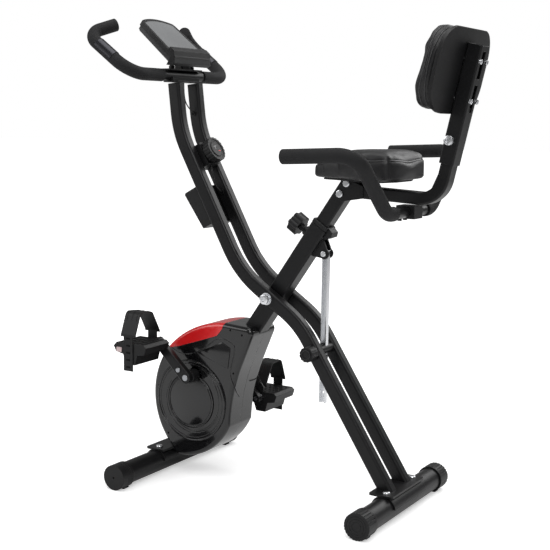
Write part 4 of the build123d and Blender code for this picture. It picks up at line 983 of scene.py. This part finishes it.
@dataclass
class Backrest:
    """Curved padded backrest with two piping ridges near its front edge."""

    shop: Workshop
    lean: float = math.radians(12.8)
    half_width: float = 0.150
    half_height: float = 0.106
    corner: float = 0.080
    curve: float = 1.370

    def build(self) -> None:
        """Makes the cushion and its piping."""
        up = Vector((math.sin(self.lean), 0.0, math.cos(self.lean)))
        back = Vector((math.cos(self.lean), 0.0, -math.sin(self.lean)))
        form = PaddedForm("backrest_cushion", 0.005, 0.004, 0.007, 4.0, back, 0.0)
        cushion = form.make(self.shop)
        low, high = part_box("backrest_cushion")
        centre = (low + high) / 2
        tree = surface_of(cushion)
        lines = []
        for share in (-0.30, 0.55):
            loop = self._rounded_outline(centre, up, back, share)
            lines.append(relax_loop(drape(loop, tree, 0.0), SEAM_PASSES))
        for line in lines:
            pinch(cushion, line, 0.007, 0.0018)
        self.shop.place(cushion, "backrest_padding", "padded_vinyl", "seat", "vinyl", 80.0)
        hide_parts("backrest_cushion")
        tree = surface_of(cushion)
        pipes = [piping_tube(self.shop, line, tree) for line in lines]
        self.shop.place(self.shop.join(pipes), "backrest_piping", "piping_vinyl", "seat", "vinyl", 80.0)

    def _rounded_outline(
        self, centre: Vector, up: Vector, back: Vector, share: float
    ) -> list[Vector]:
        """Loop round the cushion's rim.

        Args:
            centre: middle of the cushion's box.
            up: direction up along the cushion.
            back: direction out of its back.
            share: place through its thickness, -1 front to 1 back.

        Returns:
            Points of the loop, on the cushion's curve.
        """
        points = []
        width, height, corner = self.half_width, self.half_height, self.corner
        for quarter, (sy, sz) in enumerate(((1, 1), (-1, 1), (-1, -1), (1, -1))):
            for step in range(9):
                angle = math.radians(90.0 * quarter + 90.0 * step / 8)
                y = sy * (width - corner) + corner * math.cos(angle)
                z = sz * (height - corner) + corner * math.sin(angle)
                bow = self.curve - math.sqrt(self.curve ** 2 - y * y)
                depth = back * (0.019 * share - bow + 0.004)
                points.append(centre + up * z + Vector((0, y, 0)) + depth)
        return even_loop(points, SEAM_GAP)


# ---------------------------------------------------------------- grips and cords


@dataclass
class FoamGrips:
    """Foam sleeves of both bars."""

    shop: Workshop

    def build(self) -> None:
        """Makes the sleeves of the front bar and of the seat bar."""
        for node, body, name in (
            ("handlebar_grips", "rear_frame", "front_bar_foam"),
            ("seat_grips", "seat", "seat_bar_foam"),
        ):
            foam = self.shop.copy_of_node(node)
            round_edges(foam, 0.0011, 3, 50.0)
            self.shop.place(foam, name, "grip_foam", body, "foam", 50.0)
            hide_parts(node)


@dataclass
class Cords:
    """Tension cable and sensor lead, each on one smooth curve."""

    shop: Workshop
    cable_route: tuple[Point, ...] = (
        (-0.2474, 0.0, 0.8016), (-0.2390, 0.0, 0.7680), (-0.2350, 0.008, 0.7460), (-0.2320, 0.0258, 0.7360),
    )
    lead_route: tuple[Point, ...] = (
        (-0.3330, 0.0, 1.0100), (-0.3330, 0.0, 0.9780), (-0.3280, 0.007, 0.9500), (-0.3200, 0.0256, 0.9340),
    )

    def build(self) -> None:
        """Makes both cords."""
        self._cord("tension_cable", "tension_cable_sheath", self.cable_route, 0.004)
        self._cord("sensor_lead", "sensor_lead_sheath", self.lead_route, 0.003)

    def _cord(self, node: str, name: str, route: tuple[Point, ...], diameter: float) -> None:
        """Makes one cord on a NURBS spline.

        Args:
            node: CAD node that it stands for.
            name: piece name.
            route: control points in metres.
            diameter: cord diameter in metres.
        """
        curve = bpy.data.curves.new(name, "CURVE")
        curve.dimensions = "3D"
        curve.bevel_depth = diameter / 2
        curve.bevel_resolution = 4
        curve.resolution_u = 16
        curve.use_fill_caps = True
        spline = curve.splines.new("NURBS")
        spline.points.add(len(route) - 1)
        for target, point in zip(spline.points, route):
            target.co = (*point, 1.0)
        spline.order_u = 3
        spline.use_endpoint_u = True
        obj = bpy.data.objects.new(name, curve)
        bpy.context.scene.collection.objects.link(obj)
        curve.materials.append(self.shop.finishes.get("cable_sheath"))
        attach(obj, "rear_frame")
        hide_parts(node)


# ---------------------------------------------------------------- hard detail


def surface_point(node: str, start: Point, direction: Point) -> tuple[Vector, Vector]:
    """Point and normal where a ray first meets a CAD node.

    Args:
        node: CAD node name.
        start: start of the ray in metres.
        direction: direction of the ray.

    Returns:
        The point and the surface normal.
    """
    tree = surface_of(frame["nodes"][node])
    place, normal, _, _ = tree.ray_cast(Vector(start), Vector(direction).normalized())
    if place is None:
        raise ValueError(f"no surface of {node} along the ray")
    return place, normal


@dataclass
class HousingTrim:
    """Rings, spiral ridge and raised panel on each side of the drive housing."""

    shop: Workshop
    centre_x: float = -0.2656
    centre_z: float = 0.2025
    face: float = 0.0608
    rings: tuple[tuple[float, float], ...] = ((0.1035, 0.0024), (0.0965, 0.0012), (0.0680, 0.0020))
    spirals: tuple[tuple[float, float, float, float], ...] = (
        (70.0, -150.0, 0.0930, 0.0720), (-20.0, -215.0, 0.0880, 0.0760),
    )
    panel: tuple[tuple[float, float], ...] = ((-0.248, 0.330), (-0.172, 0.366), (-0.146, 0.353), (-0.153, 0.300))
    panel_face: float = 0.0578
    groove: tuple[tuple[float, float], ...] = (
        (-0.330, 0.334), (-0.300, 0.322), (-0.262, 0.326), (-0.226, 0.345), (-0.180, 0.374), (-0.142, 0.366),
        (-0.134, 0.348), (-0.146, 0.290), (-0.132, 0.252), (-0.118, 0.232),
    )

    def build(self) -> None:
        """Makes the trim of both halves."""
        for side in Side:
            self._rings(side)
            self._panel(side)

    def _rings(self, side: Side) -> None:
        """Makes the round ridges.

        Args:
            side: half of the housing.
        """
        centre = (self.centre_x, side.value * self.face, self.centre_z)
        pieces = [self.shop.ring(centre, (0, 1, 0), radius, bead, 96) for radius, bead in self.rings]
        for start, end, first, last in self.spirals:
            line = []
            for step in range(49):
                share = step / 48
                angle = math.radians(start + (end - start) * share)
                radius = first + (last - first) * share
                line.append(Vector((
                    self.centre_x + radius * math.cos(angle), centre[1], self.centre_z + radius * math.sin(angle)
                )))
            pieces.append(self.shop.tube(line, 0.0013))
        disc = self.shop.disc(centre, (0, 1, 0), 0.0640, 0.0030, 96)
        round_edges(disc, 0.0012, 3)
        pieces.append(disc)
        self.shop.place(
            self.shop.join(pieces), f"housing_rings_{side.word}", "gloss_shell", "frame", "gloss_shell", 40.0
        )

    def _panel(self, side: Side) -> None:
        """Makes the raised three-cornered panel and the ridge round it.

        Args:
            side: half of the housing.
        """
        deselect_all()
        bpy.ops.mesh.primitive_circle_add(vertices=len(self.panel), radius=0.05, fill_type="NGON")
        panel = bpy.context.object
        for vertex, (x, z) in zip(panel.data.vertices, self.panel):
            vertex.co = (x, side.value * self.panel_face, z)
        bpy.ops.object.mode_set(mode="EDIT")
        bpy.ops.mesh.select_all(action="SELECT")
        bpy.ops.mesh.extrude_region_move(TRANSFORM_OT_translate={"value": (0, side.value * 0.0022, 0)})
        bpy.ops.object.mode_set(mode="OBJECT")
        round_edges(panel, 0.0009, 2)
        corners = [Vector((x, side.value * self.panel_face, z)) for x, z in self.groove]
        line = smooth_line(corners, 8)
        ridge = self.shop.tube(line, 0.0015)
        self.shop.place(
            self.shop.join([panel, ridge]), f"housing_panel_{side.word}",
            "gloss_shell", "frame", "gloss_shell", 40.0,
        )


def smooth_line(corners: list[Vector], steps: int) -> list[Vector]:
    """Catmull-Rom points through an open line of corners.

    Args:
        corners: the line's corners.
        steps: points for each stretch.

    Returns:
        The points of the line.
    """
    ends = [corners[0] * 2 - corners[1], *corners, corners[-1] * 2 - corners[-2]]
    points = []
    for a, b, c, d in zip(ends, ends[1:], ends[2:], ends[3:]):
        points.extend(spline_point(a, b, c, d, step / steps) for step in range(steps))
    return [*points, corners[-1]]


@dataclass
class ScrewHeads:
    """Bright domed heads on the bike's screws and bolts."""

    shop: Workshop
    lean: float = math.radians(12.8)
    channel: Point = (0.399, 0.0, 0.827)

    def build(self) -> None:
        """Makes the heads of each group."""
        back = Vector((math.cos(self.lean), 0.0, -math.sin(self.lean)))
        up = Vector((math.sin(self.lean), 0.0, math.cos(self.lean)))
        heads = []
        for across in (-0.017, 0.017):
            for high in (0.145, 0.232):
                place = Vector(self.channel) + up * high + back * 0.0206 + Vector((0, across, 0))
                heads.append(self._head(place, back, 0.0056, 0.0026))
        for side in Side:
            axis = Vector((0, side.value, 0))
            heads.append(self._head(Vector((0.407, side.value * 0.0270, 0.880)), axis, 0.0108, 0.0040))
            for along in (0.205, 0.236):
                place = Vector((0.019 + 0.56784 * along, side.value * 0.0212, 0.5814 + 0.82314 * along))
                heads.append(self._head(place, axis, 0.0088, 0.0036))
        self.shop.place(self.shop.join(heads), "seat_screw_heads", "bright_plate", "seat", "bright_steel", 40.0)
        pins = [
            self._head(Vector((-0.043, side.value * 0.0648, 0.488)), Vector((0, side.value, 0)), 0.0120, 0.0044)
            for side in Side
        ]
        self.shop.place(self.shop.join(pins), "pivot_bolt_heads", "bright_plate", "frame", "bright_steel", 40.0)

    def _head(self, place: Vector, axis: Vector, radius: float, height: float) -> bpy.types.Object:
        """Makes a domed head with a hexagonal socket.

        Args:
            place: centre of the head's seat.
            axis: direction it points.
            radius: head radius in metres.
            height: dome height in metres.

        Returns:
            The head.
        """
        turn = axis.to_track_quat("Z", "Y").to_euler()
        deselect_all()
        bpy.ops.mesh.primitive_cylinder_add(
            vertices=32, radius=radius, depth=height, location=place + axis * height / 2, rotation=turn
        )
        head = bpy.context.object
        top = [f.index for f in head.data.polygons if f.normal.z > 0.9]
        bpy.ops.object.mode_set(mode="EDIT")
        bpy.ops.mesh.select_mode(type="FACE")
        bpy.ops.mesh.select_all(action="DESELECT")
        bpy.ops.object.mode_set(mode="OBJECT")
        for index in top:
            head.data.polygons[index].select = True
        bpy.ops.object.mode_set(mode="EDIT")
        bpy.ops.mesh.inset(thickness=radius * 0.30, depth=height * 0.25)
        bpy.ops.mesh.inset(thickness=radius * 0.22, depth=0.0)
        bpy.ops.mesh.inset(thickness=radius * 0.02, depth=-height * 0.8)
        bpy.ops.object.mode_set(mode="OBJECT")
        return head


@dataclass
class KnobFaces:
    """Raised ring and pointer marks on the knobs' faces."""

    shop: Workshop
    tension_centre: Point = (-0.262, 0.0, 0.829)
    tension_axis: Point = (0.87803, 0.0, 0.47860)

    def build(self) -> None:
        """Makes the marks of the tension knob and the lock knob."""
        axis = Vector(self.tension_axis)
        face = Vector(self.tension_centre) + axis * 0.0362
        dial = self.shop.ring(face, self.tension_axis, 0.0195, 0.0007)
        self.shop.place(dial, "tension_dial_ring", "grey_moulding", "tension_knob_body", "grey_plastic", 60.0)
        across = Vector((0, 1, 0))
        up = axis.cross(across)
        turn = Matrix((across, up, axis)).transposed().to_euler()
        for number, (shift, size, finish) in enumerate((
            (across * -0.004 + up * 0.007, (0.012, 0.0016, 0.0008), "grey_mark"),
            (across * -0.004 + up * 0.003, (0.0016, 0.008, 0.0008), "grey_mark"),
            (across * 0.008 + up * -0.006, (0.008, 0.0022, 0.0008), "red_trim"),
        )):
            mark = self.shop.plate(face + shift + axis * 0.0002, size, tuple(turn), 0.0003)
            self.shop.place(mark, f"tension_mark_{number}", finish, "tension_knob_body", "grey_plastic", 40.0)
        lock = self.shop.ring((0.08895, -0.0883, 0.37002), (0, 1, 0), 0.0110, 0.0009)
        self.shop.place(lock, "lock_knob_ring", "grey_moulding", "lock_knob_body", "black_plastic", 60.0)


@dataclass
class PedalDetail:
    """Reflectors on the pedals, the ribs of their straps and dark plates of painted shade at the straps' slots."""

    shop: Workshop
    centres: dict[Side, Point] = field(default_factory=lambda: {
        Side.LEFT: (-0.33954, -0.165, 0.35460), Side.RIGHT: (-0.16546, 0.165, 0.18940)
    })

    def build(self) -> None:
        """Makes the detail of both pedals."""
        for side in Side:
            self._reflectors(side)
            self._strap_ribs(side)

    def _reflectors(self, side: Side) -> None:
        """Makes a pale reflector on the pedal's front and one on its outer end.

        Args:
            side: pedal side.
        """
        x, y, z = self.centres[side]
        end = side.value
        for word, start, way, size in (
            ("front", (x - 0.2, y, z - 0.010), (1, 0, 0), (0.011, 0.050, 0.003)),
            ("outer", (x - 0.036, end * 0.4, z - 0.005), (0, -end, 0), (0.012, 0.016, 0.003)),
        ):
            place, normal = surface_point(f"pedal_body_{side.word}", start, way)
            across = Vector((0, 0, 1)).cross(normal).normalized()
            turn = Matrix((across.cross(normal), across, normal)).transposed().to_euler()
            lens = self.shop.plate(place + normal * 0.0006, size, tuple(turn), 0.0009)
            self.shop.place(
                lens, f"{word}_reflector_{side.word}", "clear_reflector",
                f"pedal_{side.word}", "black_plastic", 40.0,
            )

    def _strap_ribs(self, side: Side) -> None:
        """Makes three ribs along the top of the strap, and dark plates of painted shade at the slots of its tail.

        Args:
            side: pedal side.
        """
        x, y, z = self.centres[side]
        body = f"pedal_{side.word}"
        node = f"pedal_strap_{side.word}"
        tree = surface_of(frame["nodes"][node])
        ribs = []
        for shift in (-0.015, 0.0, 0.015):
            line = []
            for step in range(25):
                place, _, _, _ = tree.ray_cast(
                    Vector((x - 0.006 + shift, y + 0.036 - 0.072 * step / 24, z + 0.2)), Vector((0, 0, -1))
                )
                if place is not None and place.z > z + 0.05:
                    line.append(place)
            ribs.append(self.shop.tube(line, 0.0009))
        self.shop.place(self.shop.join(ribs), f"strap_ribs_{side.word}", "strap_rubber", body, "soft_rubber", 60.0)
        # dark plates on the strap's side: painted shade where the tail's slots are
        slots = []
        for drop in range(5):
            place, normal, _, _ = tree.ray_cast(
                Vector((x - 0.006, side.value * 0.4, z + 0.026 - 0.018 * drop)), Vector((0, -side.value, 0))
            )
            if place is not None:
                slots.append(self.shop.plate(place, (0.012, 0.0012, 0.0045), (0, 0, 0), 0.0004))
        if slots:
            self.shop.place(
                self.shop.join(slots), f"strap_slots_{side.word}", "painted_slot_shade", body, "soft_rubber", 40.0
            )


# ---------------------------------------------------------------- CAD nodes


@dataclass
class CadFinishes:
    """Gives every CAD node its node material."""

    shop: Workshop
    special: dict[str, str] = field(default_factory=lambda: {
        "pulse_plates": "dark_chrome", "frame_pins": "bright_plate"
    })

    def build(self) -> None:
        """Dresses the nodes by the record's slots."""
        for row in frame["record"]["subparts"]:
            node = frame["nodes"][row["node"]]
            name = self.special.get(row["node"])
            finishes = self.shop.finishes
            material = finishes.get(name) if name else finishes.for_slot(row["material_slot"])
            if not node.material_slots:
                node.data.materials.append(material)
            for slot in node.material_slots:
                slot.material = material


# ---------------------------------------------------------------- studio


@dataclass
class Studio:
    """Pale floor, soft lights and the camera."""

    place: Point = (1.36386, -2.29557, 0.92433)
    azimuth: float = math.radians(31.69)
    pitch: float = math.radians(8.12)
    roll: float = math.radians(0.66)
    lens: float = 72.05
    sensor: float = 36.0
    floor_size: float = 60.0
    surround: float = 0.27
    floor_glow: float = 0.45
    far_glow: float = 0.95
    near: float = 0.8
    far: float = 2.6

    def build(self) -> None:
        """Makes the camera, floor, world and lights."""
        self._camera()
        self._floor()
        self._world()
        self._light("key_light", (2.2, -2.6, 3.4), 2.2, 78.0)
        self._light("fill_light", (-3.0, -2.4, 2.4), 2.6, 52.0)
        self._light("rim_light", (1.0, 3.2, 2.8), 2.6, 60.0)
        self._light("top_light", (0.0, 0.0, 4.2), 3.2, 75.0)
        bpy.context.scene.view_settings.view_transform = "Standard"

    def _camera(self) -> None:
        """Sets the camera from its place and angles."""
        level = math.cos(self.pitch)
        look = Vector((
            -math.sin(self.azimuth) * level, math.cos(self.azimuth) * level, -math.sin(self.pitch)
        ))
        right = look.cross(Vector((0, 0, 1))).normalized()
        up = right.cross(look)
        across = right * math.cos(self.roll) + up * math.sin(self.roll)
        above = -right * math.sin(self.roll) + up * math.cos(self.roll)
        data = bpy.data.cameras.new("camera")
        data.lens = self.lens
        data.sensor_width = self.sensor
        camera = bpy.data.objects.new("camera", data)
        turn = Matrix((across, above, -look)).transposed().to_4x4()
        camera.matrix_world = Matrix.Translation(self.place) @ turn
        bpy.context.scene.collection.objects.link(camera)
        bpy.context.scene.camera = camera

    def _floor(self) -> None:
        """Adds the floor just under the foot pads."""
        deselect_all()
        bpy.ops.mesh.primitive_plane_add(size=self.floor_size, location=(0, 0, -0.0002))
        floor = bpy.context.object
        floor.name = "floor"
        material = bpy.data.materials.new("pale_floor")
        material.use_nodes = True
        shader = material.node_tree.nodes["Principled BSDF"]
        shader.inputs["Base Color"].default_value = (0.93, 0.93, 0.93, 1.0)
        shader.inputs["Roughness"].default_value = 0.75
        shader.inputs["Emission Color"].default_value = (1.0, 1.0, 1.0, 1.0)
        t = NodeTree(material.node_tree)
        path = t.add("ShaderNodeLightPath")
        away = t.add("ShaderNodeVectorMath", operation="LENGTH")
        t.link(t.add("ShaderNodeNewGeometry").outputs["Position"], away.inputs[0])
        glow = t.add("ShaderNodeMapRange")
        t.link(away.outputs["Value"], glow.inputs["Value"])
        for name, value in (
            ("From Min", self.near), ("From Max", self.far), ("To Min", self.floor_glow), ("To Max", self.far_glow)
        ):
            glow.inputs[name].default_value = value
        strength = t.math("MULTIPLY", path.outputs["Is Camera Ray"], glow.outputs["Result"])
        t.link(strength, shader.inputs["Emission Strength"])
        floor.data.materials.append(material)

    def _world(self) -> None:
        """Sets an even pale surround."""
        world = bpy.data.worlds.new("pale_surround")
        world.use_nodes = True
        t = NodeTree(world.node_tree)
        background = world.node_tree.nodes["Background"]
        background.inputs["Color"].default_value = (1.0, 1.0, 1.0, 1.0)
        path = t.add("ShaderNodeLightPath")
        strength = t.math("MULTIPLY_ADD", path.outputs["Is Camera Ray"], 1.0 - self.surround)
        strength.node.inputs[2].default_value = self.surround
        t.link(strength, background.inputs["Strength"])
        bpy.context.scene.world = world

    def _light(self, name: str, place: Point, size: float, power: float) -> None:
        """Adds a soft area light that faces the bike.

        Args:
            name: light name.
            place: position in metres.
            size: edge of its square in metres.
            power: power in watts.
        """
        data = bpy.data.lights.new(name, "AREA")
        data.size = size
        data.energy = power
        light = bpy.data.objects.new(name, data)
        light.location = place
        aim = Vector((0.0, 0.0, 0.55)) - Vector(place)
        light.rotation_euler = aim.to_track_quat("-Z", "Y").to_euler()
        bpy.context.scene.collection.objects.link(light)


def main() -> None:
    """Builds the studio and every piece in order."""
    logging.basicConfig(level=logging.INFO, format="%(name)s: %(message)s")
    Studio().build()
    shop = Workshop(FinishLibrary())
    CadFinishes(shop).build()
    for assembly in (Cords, Saddle, Backrest, FoamGrips, HousingTrim, ScrewHeads, KnobFaces, PedalDetail):
        assembly(shop).build()
    LOG.info("%d pieces made", len(shop.made))


if __name__ == "__main__":
    main()
